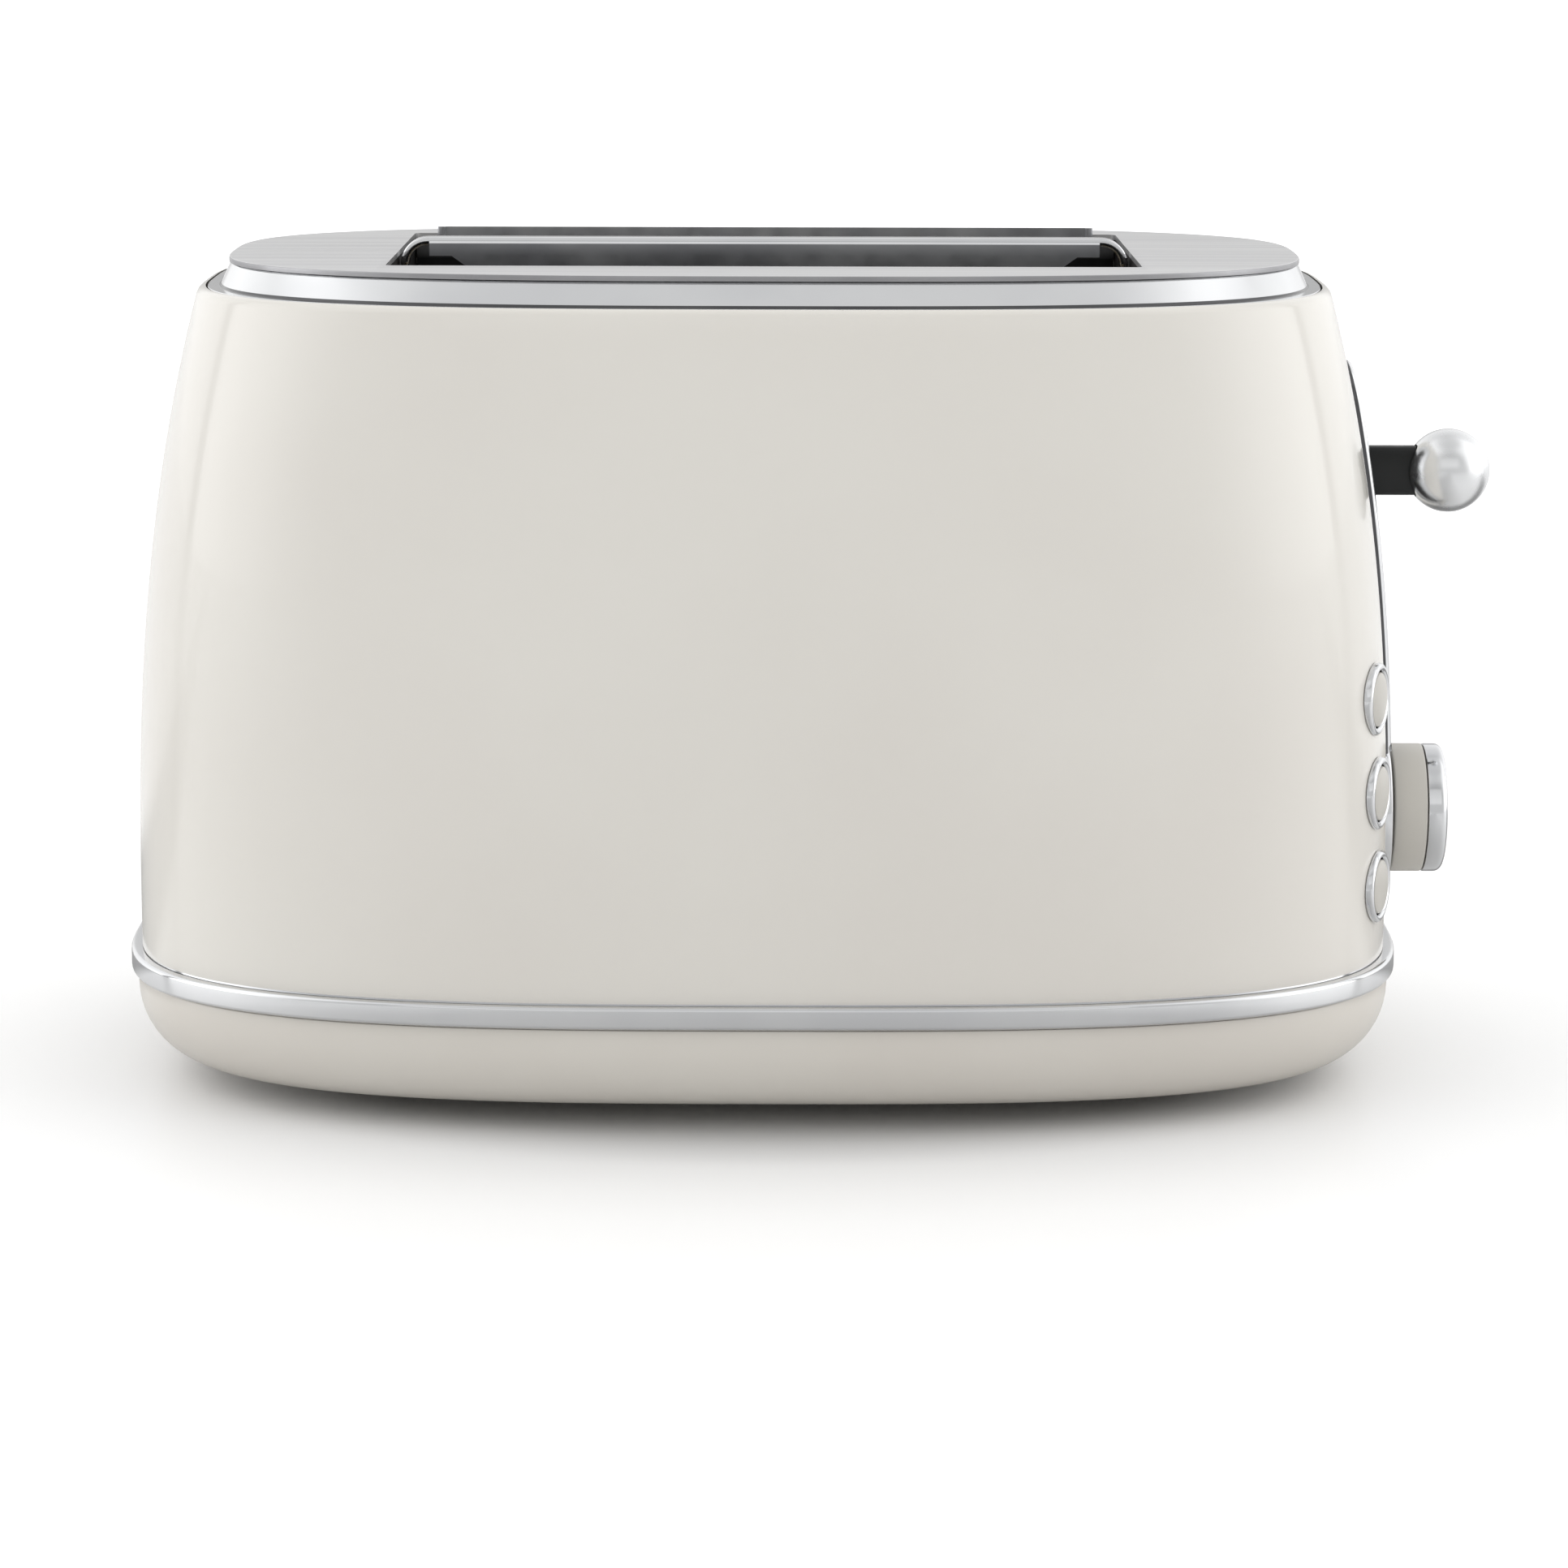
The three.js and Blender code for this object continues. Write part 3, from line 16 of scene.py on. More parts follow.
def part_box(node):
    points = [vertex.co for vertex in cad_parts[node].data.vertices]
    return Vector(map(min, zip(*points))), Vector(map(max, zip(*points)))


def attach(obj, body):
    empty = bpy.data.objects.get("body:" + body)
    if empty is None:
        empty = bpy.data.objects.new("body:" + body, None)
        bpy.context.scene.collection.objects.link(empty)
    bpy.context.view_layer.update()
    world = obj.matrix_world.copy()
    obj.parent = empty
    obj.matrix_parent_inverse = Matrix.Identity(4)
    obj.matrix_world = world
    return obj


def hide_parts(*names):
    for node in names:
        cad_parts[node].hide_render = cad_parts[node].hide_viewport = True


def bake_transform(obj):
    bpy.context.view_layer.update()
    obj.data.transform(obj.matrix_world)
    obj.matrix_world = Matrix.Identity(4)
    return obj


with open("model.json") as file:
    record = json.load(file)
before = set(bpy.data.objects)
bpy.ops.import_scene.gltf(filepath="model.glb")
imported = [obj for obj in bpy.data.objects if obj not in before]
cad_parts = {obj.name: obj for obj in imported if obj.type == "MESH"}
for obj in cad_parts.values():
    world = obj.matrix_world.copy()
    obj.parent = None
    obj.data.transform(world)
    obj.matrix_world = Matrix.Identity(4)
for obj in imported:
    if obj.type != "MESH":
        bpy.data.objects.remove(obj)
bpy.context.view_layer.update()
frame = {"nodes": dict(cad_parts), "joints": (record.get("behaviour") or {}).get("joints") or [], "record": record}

MM = 0.001
parts = frame["nodes"]
joints = {joint["name"]: joint for joint in frame["joints"]}

# %% [markdown]
# ## The camera
# A long lens from a little above the toaster, looking straight at its front. The long lens keeps
# the sides nearly parallel, as in a catalogue picture. Three small angles turn into the camera's
# own right, up and back directions, which are the columns of its matrix.

# %% Place the camera
def aim_camera(place, pitch, yaw, roll, lens):
    ahead = Vector((math.sin(yaw) * math.cos(pitch), math.cos(yaw) * math.cos(pitch),
                    -math.sin(pitch)))
    level = Vector((math.cos(yaw), -math.sin(yaw), 0))
    above = level.cross(ahead)
    right = math.cos(roll) * level + math.sin(roll) * above
    up = math.cos(roll) * above - math.sin(roll) * level
    turn = Matrix((right, up, -ahead)).transposed().to_4x4()
    camera = bpy.data.objects.new("camera", bpy.data.cameras.new("camera"))
    camera.data.lens = lens
    camera.data.sensor_width = 36
    camera.data.clip_end = 50
    camera.matrix_world = Matrix.Translation(place) @ turn
    bpy.context.scene.collection.objects.link(camera)
    bpy.context.scene.camera = camera
    return camera


camera = aim_camera(Vector((-6.98, -1115.27, 275.37)) * MM, pitch=0.189, yaw=0.001,
                    roll=0.0026, lens=113.06)
print("camera at", [round(c, 3) for c in camera.location])

# %% [markdown]
# ## From bmesh to piece
# Every surface is built as a bmesh: a light mesh that operators such as extrude, spin and bevel
# work on. These helpers turn one into an object. Edges where two faces meet at more than a set
# angle stay crisp, the others are shaded smooth, which is how pressed metal and mouldings look.

# %% Turn a bmesh into a piece
CRISP_ANGLE = math.radians(32)
WELD_GAP = 1e-6


def crisp_edges(work):
    for face in work.faces:
        face.smooth = True
    for edge in work.edges:
        if len(edge.link_faces) == 2:
            edge.smooth = edge.calc_face_angle() < CRISP_ANGLE


def of_type(items, kind):
    return [item for item in items if isinstance(item, kind)]


def make_piece(name, work):
    crisp_edges(work)
    mesh = bpy.data.meshes.new(name)
    work.to_mesh(mesh)
    work.free()
    piece = bpy.data.objects.new(name, mesh)
    bpy.context.scene.collection.objects.link(piece)
    return piece


def close_up(work):
    bmesh.ops.remove_doubles(work, verts=work.verts, dist=WELD_GAP)
    bmesh.ops.recalc_face_normals(work, faces=work.faces)
    return work


print("pieces stay crisp above", round(math.degrees(CRISP_ANGLE)), "degrees")

# %% [markdown]
# ## Squared ovals
# Seen from above, the body is neither a rectangle nor an ellipse: it is a squared oval. A circle
# becomes one when the cosine and sine of each of its points are raised to a small power. Every
# ring of the body starts as the same circle, which remembers its cosines and sines in a layer.
# Extruding the ring and placing the new points again lofts the form from the foot to the top.

# %% Loft a stack of squared ovals
OVAL_POINTS = 160
BODY_POWER = 3.1
COLLAR_POWER = 3.0
shell_low, shell_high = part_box("body_shell")
middle = (shell_low + shell_high) / 2


def place_ring(points, layer, half_x, half_y, z, power):
    for point in points:
        c, s = point[layer].x, point[layer].y
        x = math.copysign(abs(c) ** (2 / power), c) * half_x
        y = math.copysign(abs(s) ** (2 / power), s) * half_y
        point.co = (middle.x + x, middle.y + y, z)


def oval_stack(sections, close):
    """Sections are (half width, half depth, height, power), from one end to the other."""
    work = bmesh.new()
    layer = work.verts.layers.float_vector.new("circle")
    bmesh.ops.create_circle(work, cap_ends=False, segments=OVAL_POINTS, radius=1)
    for point in work.verts:
        point[layer] = point.co
    place_ring(work.verts, layer, *sections[0])
    first = ring = list(work.edges)
    for section in sections[1:]:
        grown = bmesh.ops.extrude_edge_only(work, edges=ring)["geom"]
        points = set(of_type(grown, bmesh.types.BMVert))
        place_ring(points, layer, *section)
        ring = [edge for edge in of_type(grown, bmesh.types.BMEdge)
                if points.issuperset(edge.verts)]
    if close == "on itself":
        bmesh.ops.bridge_loops(work, edges=first + ring)
    if close == "with caps":
        bmesh.ops.edgeloop_fill(work, edges=first)
        bmesh.ops.edgeloop_fill(work, edges=ring)
    return close_up(work)


def spread(count, start, end):
    return [start + (end - start) * i / count for i in range(count + 1)]


def quarter(count, start=0.0, end=math.pi / 2):
    return [(math.cos(angle), math.sin(angle)) for angle in spread(count, start, end)]


print("the body's middle is at", [round(c, 4) for c in middle])

# %% [markdown]
# ## The outline of the body
# The shell stands upright for a centimetre and then draws in towards the top, ever faster. One
# function gives its half width and half depth at any height, and a second tells how far out its
# right end lies. Every piece of trim on the shell uses them, so all of it follows the same curve.

# %% Describe the shell's outline
def half_size(node):
    low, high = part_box(node)
    return (high.x - low.x) / 2, (high.y - low.y) / 2


SHELL_HALF_X, SHELL_HALF_Y = half_size("body_shell")
SHELL_FOOT, SHELL_TOP = shell_low.z, shell_high.z
UPRIGHT = 10 * MM
NARROWER_X, NARROWER_Y = 15.4 * MM, 7.6 * MM
NARROWING_POWER = 2.45
LIP_RADIUS = 1.6 * MM
SHELL_WALL = 1.6 * MM


def shell_half(z, grow=0.0):
    climbed = (z - SHELL_FOOT - UPRIGHT) / (SHELL_TOP - SHELL_FOOT - UPRIGHT)
    share = max(climbed, 0) ** NARROWING_POWER
    return SHELL_HALF_X - NARROWER_X * share + grow, SHELL_HALF_Y - NARROWER_Y * share + grow


def right_end(y, z):
    half_x, half_y = shell_half(z)
    return middle.x + half_x * (1 - abs(y / half_y) ** BODY_POWER) ** (1 / BODY_POWER)


print(f"shell {2000 * SHELL_HALF_X:.1f} x {2000 * SHELL_HALF_Y:.1f} mm at its foot")

# %% [markdown]
# ## Cutting with a tool
# Slots, holes and finger scoops are cut with a second solid, as on a milling machine. Blender's
# exact boolean does that. It is evaluated at once and the result becomes the piece's own mesh,
# so no tool stays in the scene. A boss or a rail is joined on in the same way.

# %% Cut and join
SLIVER = 2e-6


def carve(piece, tool_work, how="DIFFERENCE"):
    tool = make_piece("tool", tool_work)
    cut = piece.modifiers.new("cut", "BOOLEAN")
    cut.operation = how
    cut.solver = "EXACT"
    cut.object = tool
    evaluated = piece.evaluated_get(bpy.context.evaluated_depsgraph_get())
    whole, rest = piece.data, bpy.data.meshes.new_from_object(evaluated)
    piece.modifiers.clear()
    piece.data = rest
    bpy.data.meshes.remove(whole)
    bpy.data.objects.remove(tool)
    work = bmesh.new()
    work.from_mesh(rest)
    bmesh.ops.dissolve_degenerate(work, edges=work.edges, dist=SLIVER)
    crisp_edges(work)
    work.to_mesh(rest)
    work.free()


print("the cutter is ready")

# %% [markdown]
# The tools, and many of the pieces, are simple forms: a box with rounded edges, a profile turned
# on a lathe, or a round bar. The lathe works round the X axis, and two turns bring its work
# round to the Y or the Z axis. A block with round ends has its corners rounded by nearly, not
# quite, its half width, so that the two roundings never touch.

# %% Shape simple forms
TO_Y = Matrix.Rotation(math.radians(90), 4, "Z")
TO_Z = Matrix.Rotation(math.radians(-90), 4, "Y")
ROUND_END = 0.95


def bevel(work, edges, width, steps, **settings):
    bmesh.ops.bevel(work, geom=edges, offset=width, segments=steps, profile=0.5,
                    affect="EDGES", material=-1, **settings)


def block(low, high, round_axis=None, radius=0.0, steps=6):
    """A box, with the four edges along one axis rounded if asked."""
    work = bmesh.new()
    bmesh.ops.create_cube(work, size=1)
    low, high = Vector(low), Vector(high)
    bmesh.ops.scale(work, vec=high - low, verts=work.verts)
    bmesh.ops.translate(work, vec=(low + high) / 2, verts=work.verts)
    if round_axis is not None:
        along = [edge for edge in work.edges
                 if abs((edge.verts[0].co - edge.verts[1].co).normalized()[round_axis]) > 0.9]
        bevel(work, along, radius, steps)
    return work


def turned(profile, steps):
    """Spins a profile of (distance along X, radius) points round the X axis."""
    work = bmesh.new()
    points = [work.verts.new((along, radius, 0)) for along, radius in profile]
    for a, b in zip(points, points[1:]):
        work.edges.new((a, b))
    bmesh.ops.spin(work, geom=work.verts[:] + work.edges[:], cent=(0, 0, 0), axis=(1, 0, 0),
                   angle=2 * math.pi, steps=steps, use_merge=True)
    return close_up(work)


def bar(start, end, radius, steps):
    return turned([(start, 0), (start, radius), (end, radius), (end, 0)], steps)


def in_mm(*pairs):
    return [(along * MM, radius * MM) for along, radius in pairs]


def slice_at(work, point, normal):
    bmesh.ops.bisect_plane(work, geom=work.verts[:] + work.edges[:] + work.faces[:],
                           plane_co=point, plane_no=normal, dist=1e-7)


def soften(work, width, steps, sharper_than=30, which=lambda middle_of_edge: True):
    edges = [edge for edge in work.edges if len(edge.link_faces) == 2
             and edge.calc_face_angle() > math.radians(sharper_than)
             and which((edge.verts[0].co + edge.verts[1].co) / 2)]
    bevel(work, edges, width, steps, clamp_overlap=True)
    return work


def moved(work, matrix):
    bmesh.ops.transform(work, matrix=matrix, verts=work.verts)
    return work


print("simple forms are ready")

# %% [markdown]
# ## Finishes: how a material is put together
# A finish is a Principled shader whose colour, roughness and bump vary a little over the surface.
# Noise read in object coordinates gives that variation at a real scale, because the pieces are in
# metres: a scale of 900 makes grains of about one millimetre. What is the same all over a surface,
# such as the coat, is typed straight into the shader.

# %% Helpers for shader nodes
def add_node(tree, kind, inputs, **settings):
    """Adds a node. Each input is a plain value, or another node's output that feeds it."""
    node = tree.nodes.new("ShaderNode" + kind)
    for name, value in settings.items():
        setattr(node, name, value)
    for name, value in inputs.items():
        if isinstance(value, bpy.types.NodeSocket):
            tree.links.new(value, node.inputs[name])
        else:
            node.inputs[name].default_value = value
    return node


def object_place(tree, stretch=(1, 1, 1), shift=(0, 0, 0)):
    place = add_node(tree, "TexCoord", {}).outputs["Object"]
    mapping = {"Scale": stretch, "Location": shift, "Vector": place}
    return add_node(tree, "Mapping", mapping).outputs["Vector"]


def noise(tree, scale, stretch):
    grain = {"Scale": scale, "Detail": 3.0, "Vector": object_place(tree, stretch)}
    return add_node(tree, "TexNoise", grain).outputs["Fac"]


def between(tree, amount, low, high):
    """Spreads the part of a noise that is mostly used, 0.3 to 0.7, over a range."""
    limits = {"Value": amount, "From Min": 0.3, "From Max": 0.7, "To Min": low, "To Max": high}
    return add_node(tree, "MapRange", limits, interpolation_type="SMOOTHSTEP").outputs["Result"]


def mix_colours(tree, share, first, second, how="MIX"):
    """Share 0 gives the first colour, share 1 the second or their product."""
    mixed = {"Factor": share, "A": first, "B": second}
    return add_node(tree, "Mix", mixed, data_type="RGBA", blend_type=how).outputs["Result"]


print("node helpers ready")

# %% Helpers for finishes
def start_finish(name, **settings):
    material = bpy.data.materials.new(name)
    material.use_nodes = True
    shader = material.node_tree.nodes["Principled BSDF"]
    for socket, value in settings.items():
        shader.inputs[socket.replace("_", " ")].default_value = value
    return material, material.node_tree, shader


def bump(tree, shader, height, strength, depth):
    node = add_node(tree, "Bump", {"Height": height, "Strength": strength, "Distance": depth})
    tree.links.new(node.outputs["Normal"], shader.inputs["Normal"])


def linear(red, green, blue):
    """A colour as a screen shows it, turned into the light values that a shader wants."""
    return tuple(((value / 255 + 0.055) / 1.055) ** 2.4 for value in (red, green, blue))


def varied(name, first, second, roughness, patch, grain, grain_strength, grain_depth,
           stretch=(1, 1, 1), **settings):
    """A finish whose colour and roughness wander between two values, with a fine grain."""
    material, tree, shader = start_finish(name, **settings)
    patches = between(tree, noise(tree, patch, stretch), 0, 1)
    colour = mix_colours(tree, patches, (*first, 1), (*second, 1))
    wear = between(tree, noise(tree, patch * 3.1, stretch), *roughness)
    tree.links.new(colour, shader.inputs["Base Color"])
    tree.links.new(wear, shader.inputs["Roughness"])
    bump(tree, shader, noise(tree, grain, stretch), grain_strength, grain_depth)
    return material


def metal(name, light, dark, roughness, patch, grain, grain_strength, grain_depth=0.02 * MM,
          Metallic=1.0, **more):
    return varied(name, linear(*light), linear(*dark), roughness, patch, grain, grain_strength,
                  grain_depth, Metallic=Metallic, **more)


print("finish helpers ready")

# %% [markdown]
# ## Enamel and mouldings
# The shell is steel under a stoved cream enamel. It has a faint orange peel and a clear, glossy
# skin. The bowl and the tray's face are moulded in the same colour, with a slightly softer gloss.
# The knob's disc and the button caps get a darker, warm grey copy of the cream moulding, a
# painted shade for faces that turn away from the light.

# %% Make the cream finishes and their shaded copy
cream_enamel = varied(
    "cream_enamel", linear(223, 220, 213), linear(219, 215, 208), (0.22, 0.25), patch=9,
    grain=420, grain_strength=0.035, grain_depth=0.05 * MM,
    Coat_Weight=0.5, Coat_Roughness=0.06, Specular_IOR_Level=0.5,
)
cream_moulding = varied(
    "cream_moulding", linear(215, 211, 203), linear(211, 206, 198), (0.28, 0.36), patch=16,
    grain=1300, grain_strength=0.05, grain_depth=0.03 * MM,
    Coat_Weight=0.25, Coat_Roughness=0.12,
)
# The cream moulding darkened to a warm grey: a painted shade for the knob and buttons.
painted_shade_moulding = varied(
    "painted_shade_moulding", linear(200, 197, 190), linear(192, 189, 182), (0.3, 0.4), patch=16,
    grain=1300, grain_strength=0.06, grain_depth=0.03 * MM,
)
print("finishes:", cream_enamel.name, cream_moulding.name, painted_shade_moulding.name)

# %% [markdown]
# ## Chrome, brushed steel and plain sheet
# Chrome is a mirror, but never a perfect one: faint smudges change its roughness. Where it faces
# a narrow gap it gets a darker copy of itself, a painted shade for the gap. The top plate is brushed
# lengthwise, so its noise is squeezed across the plate and drawn out along it, and its edge,
# left by the shears, is duller. The sheet inside is plain mill steel. The end plates have
# darkened with heat, the strip's flanges get a darker, duller finish, and the heating ribbon is
# dulled by heat.

# %% Make the metal finishes
polished_chrome = metal("polished_chrome", (220, 221, 222), (212, 213, 215), (0.07, 0.13),
                        patch=30, grain=160, grain_strength=0.015, grain_depth=0.05 * MM)
satin_chrome = metal("satin_chrome", (232, 233, 234), (224, 225, 226), (0.2, 0.28),
                     patch=40, grain=2200, grain_strength=0.05)
# A darker copy of the chrome: a painted shade for faces that look into narrow gaps.
painted_shade_chrome = metal("painted_shade_chrome", (96, 96, 97), (84, 84, 86), (0.16, 0.24),
                    patch=40, grain=900, grain_strength=0.03)
brushed_steel = metal("brushed_steel", (215, 215, 215), (203, 203, 204), (0.3, 0.42),
                      patch=60, grain=420, grain_strength=0.12, stretch=(0.06, 6, 6))
sheared_steel = metal("sheared_steel", (162, 162, 164), (150, 150, 152), (0.3, 0.4),
                      patch=40, grain=1400, grain_strength=0.08)
mill_steel = metal("mill_steel", (168, 169, 171), (146, 147, 150), (0.32, 0.5),
                   patch=70, grain=1500, grain_strength=0.08)
darker_flange_steel = metal("darker_flange_steel", (146, 147, 149), (128, 129, 132), (0.3, 0.42),
                          patch=40, grain=900, grain_strength=0.05)
heat_darkened_steel = metal("heat_darkened_steel", (58, 56, 55), (38, 37, 38), (0.45, 0.62),
                            patch=50, grain=1500, grain_strength=0.1, Metallic=0.8)
dull_ribbon = metal("dull_ribbon", (128, 118, 110), (92, 84, 80), (0.35, 0.5),
                    patch=160, grain=1500, grain_strength=0.08, grain_depth=0.01 * MM)
print("metal finishes:", polished_chrome.name, satin_chrome.name, brushed_steel.name)

# %% [markdown]
# The reflectors stand beside the heaters and are bright only where they rise past the plate.
# Below it they get a painted shade for the dark under the plate: a ramp over height, multiplied
# with the steel's own colour.

# %% Make the reflectors' finish
PLATE_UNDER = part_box("top_plate")[0].z
SHADE_REACH, SHADE_LEVEL = 5 * MM, 0.06


# Paints shade below a height: the colour falls to a dark level over the span below the clean part.
def paint_shade_below(material, clean_above, dark_below):
    tree = material.node_tree
    colour = tree.nodes["Principled BSDF"].inputs["Base Color"]
    height = add_node(tree, "SeparateXYZ", {"Vector": object_place(tree)}).outputs["Z"]
    shade_ramp = add_node(tree, "MapRange", {"Value": height, "From Min": dark_below,
                                       "From Max": clean_above, "To Min": SHADE_LEVEL})
    steel = colour.links[0].from_socket
    tree.links.new(mix_colours(tree, 1, steel, shade_ramp.outputs["Result"], "MULTIPLY"), colour)


reflector_steel = metal("reflector_steel", (172, 173, 175), (154, 155, 158), (0.32, 0.46),
                        patch=70, grain=1500, grain_strength=0.08)
# A painted shade darkens the reflectors below the plate.
paint_shade_below(reflector_steel, PLATE_UNDER, PLATE_UNDER - SHADE_REACH)
print("tinted below", round(PLATE_UNDER, 4), "m:", reflector_steel.name)

# %% [markdown]
# ## Plastic, rubber, mica and nylon
# The lever's stem and the cord's bush are black plastic with a fine spark-eroded grain. Feet are
# rubber. The heater boards are mica, which is flaky and varies a lot in colour. The carriage
# slides on natural nylon.

# %% Make the plastic, rubber, mica and nylon
black_plastic = varied(
    "black_plastic", (0.01, 0.011, 0.011), (0.016, 0.017, 0.017), (0.32, 0.45), patch=60,
    grain=2400, grain_strength=0.12, grain_depth=0.03 * MM, Specular_IOR_Level=0.22,
)
foot_rubber = varied(
    "foot_rubber", (0.018, 0.018, 0.018), (0.03, 0.03, 0.03), (0.7, 0.9), patch=80,
    grain=1200, grain_strength=0.2, grain_depth=0.05 * MM,
)
mica_sheet = varied(
    "mica_sheet", linear(196, 180, 148), linear(160, 142, 112), (0.3, 0.6), patch=90,
    grain=260, grain_strength=0.25, grain_depth=0.08 * MM,
)
natural_nylon = varied(
    "natural_nylon", linear(232, 229, 220), linear(222, 218, 206), (0.45, 0.6), patch=40,
    grain=900, grain_strength=0.08, grain_depth=0.03 * MM,
)
print("plain finishes:", black_plastic.name, foot_rubber.name, mica_sheet.name)

# %% [markdown]
# Two finishes carry a pattern of their own. Copper wire is wound in even turns, which a wave
# texture draws as fine ribs. The circuit board's tracks are thin bands of a lighter green.

# %% Make the winding and the circuit board
def patterned(name, dark, light, scale, direction, distortion, strength, depth, **settings):
    material, tree, shader = start_finish(name, **settings)
    wave = {"Scale": scale, "Distortion": distortion, "Vector": object_place(tree)}
    ribs = add_node(tree, "TexWave", wave, bands_direction=direction).outputs["Fac"]
    colour = mix_colours(tree, ribs, (*linear(*dark), 1), (*linear(*light), 1))
    tree.links.new(colour, shader.inputs["Base Color"])
    bump(tree, shader, ribs, strength, depth)
    return material


copper_winding = patterned("copper_winding", (120, 62, 34), (206, 120, 72), 420, "Z", 0,
                           0.6, 0.2 * MM, Metallic=1.0, Roughness=0.3)
circuit_green = patterned("circuit_green", (28, 78, 52), (52, 112, 72), 60, "Y", 6,
                          0.2, 0.05 * MM, Roughness=0.4, Coat_Weight=0.3)
print("patterned finishes:", copper_winding.name, circuit_green.name)

# %% [markdown]
# ## Finishing a piece
# Each new piece gets its finish, hides the measured part that it stands for and moves with that
# part's body. Some pieces show a second finish on part of their faces.

# %% Finish pieces and attach them to their bodies
BODY_OF = {node: body for body, nodes in frame["record"]["behaviour"]["bodies"].items()
           for node in nodes}


def present(piece, finish, node):
    piece.data.materials.clear()
    piece.data.materials.append(finish)
    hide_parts(node)
    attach(piece, BODY_OF[node])
    print(f"{piece.name}: {len(piece.data.polygons)} faces, moves with {BODY_OF[node]}")


def second_finish(piece, finish, where):
    piece.data.materials.append(finish)
    for face in piece.data.polygons:
        face.material_index = int(where(face))


# %% [markdown]
# ## The shell
# On the real toaster this is one deep-drawn steel pressing with a rolled upper lip. It is lofted
# here up the outside, over the lip and down the inside, and closed at the foot, so it has a real
# wall. The lever's slot, the knob's shaft hole and the three button holes are cut afterwards.

# %% Loft the shell
def shell_section(z, grow=0.0):
    return (*shell_half(z, grow), z, BODY_POWER)


straight = spread(30, SHELL_FOOT + UPRIGHT, SHELL_TOP - LIP_RADIUS)
outside = [shell_section(z) for z in [SHELL_FOOT, *straight]]
rolled_lip = [shell_section(SHELL_TOP - LIP_RADIUS * (1 - s), LIP_RADIUS * (c - 1))
              for c, s in quarter(6)[1:]]
inside = [shell_section(SHELL_TOP - 1.5 * MM, -LIP_RADIUS)]
inside += [shell_section(z, -SHELL_WALL) for z in spread(8, SHELL_TOP - 2 * LIP_RADIUS, SHELL_FOOT)]
shell = make_piece("shell", oval_stack(outside + rolled_lip + inside, "on itself"))
print(f"shell skin with {len(shell.data.vertices)} points")

# %% [markdown]
# The buttons sit square to the curved end of the shell. Their directions are in the record's
# joints, and each one's place on the surface comes from the outline. A matrix that turns the
# X axis into that direction serves the hole, the bezel and the cap alike.

# %% Find the frames of the three buttons
SEAT = 0.3 * MM
BUTTONS_Y = -41 * MM
BUTTON_RADIUS, BUTTON_RUNNING = 6 * MM, 0.35 * MM
BEZEL_WALL = 0.9 * MM


def button_frame(number):
    axis = joints[f"button_{number}_press"]["axis"]
    low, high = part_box(f"button_cap_{number}")
    z = (low.z + high.z) / 2
    place = Matrix.Translation((right_end(BUTTONS_Y, z), BUTTONS_Y, z))
    return place @ Matrix.Rotation(math.atan2(axis[1], axis[0]), 4, "Z")


button_frames = {number: button_frame(number) for number in (1, 2, 3)}
print("buttons at heights", [round(m.translation.z, 4) for m in button_frames.values()])

# %% Cut the shell's openings
stem_low, stem_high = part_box("lever_stem")
lever_z = (stem_low.z + stem_high.z) / 2
stem_half_height = (stem_high.z - stem_low.z) / 2
carriage_down, carriage_up = joints["carriage_slide"]["range_m"]
SIDE_PLAY, END_PLAY = 1.2 * MM, 1.6 * MM
SLOT_HALF = (stem_high.y - stem_low.y) / 2 + SIDE_PLAY
slot_bottom = lever_z - stem_half_height + carriage_down - END_PLAY
slot_top = lever_z + stem_half_height + carriage_up + END_PLAY
SHAFT_HOLE, BUTTON_REACH = 4.5 * MM, 8 * MM


def lever_slot(low_x, high_x):
    return block((low_x, -SLOT_HALF, slot_bottom), (high_x, SLOT_HALF, slot_top),
                 round_axis=0, radius=SLOT_HALF * ROUND_END, steps=10)


knob_low, knob_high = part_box("knob_body")
knob_z = (knob_low.z + knob_high.z) / 2
AT_KNOB = Matrix.Translation((0, 0, knob_z))
wall_inside, wall_outside = middle.x + 100 * MM, middle.x + 150 * MM
carve(shell, lever_slot(wall_inside, wall_outside))
carve(shell, moved(bar(wall_inside, wall_outside, SHAFT_HOLE, 32), AT_KNOB))
hole_radius = BUTTON_RADIUS + BUTTON_RUNNING + BEZEL_WALL + SEAT
for place in button_frames.values():
    carve(shell, moved(bar(-BUTTON_REACH, BUTTON_REACH, hole_radius, 48), place))
present(shell, cream_enamel, "body_shell")

# %% [markdown]
# ## The base bowl
# The bowl is a moulding that curves in to a flat underside. Its wall is lofted like the shell's,
# outside first. Underneath it has vent slots, inside it carries the tray's rails and the bosses
# for the feet and screws, and at the back it is open for the crumb tray and the cord.

# %% Loft the bowl
bowl_low, bowl_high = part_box("base_bowl")
BOWL_X, BOWL_Y = half_size("base_bowl")
BOWL_RADIUS, BOWL_WALL = 17 * MM, 2.8 * MM


def bowl_section(radius, c, s):
    inset = BOWL_RADIUS - radius * c
    return BOWL_X - inset, BOWL_Y - inset, bowl_low.z + BOWL_RADIUS + radius * s, BODY_POWER


def bowl_curve(radius, steps):
    return [bowl_section(radius, c, s) for c, s in quarter(steps, -math.pi / 2, 0)]


def bowl_rim(inset, drop=0.0):
    return BOWL_X - inset, BOWL_Y - inset, bowl_high.z - drop, BODY_POWER


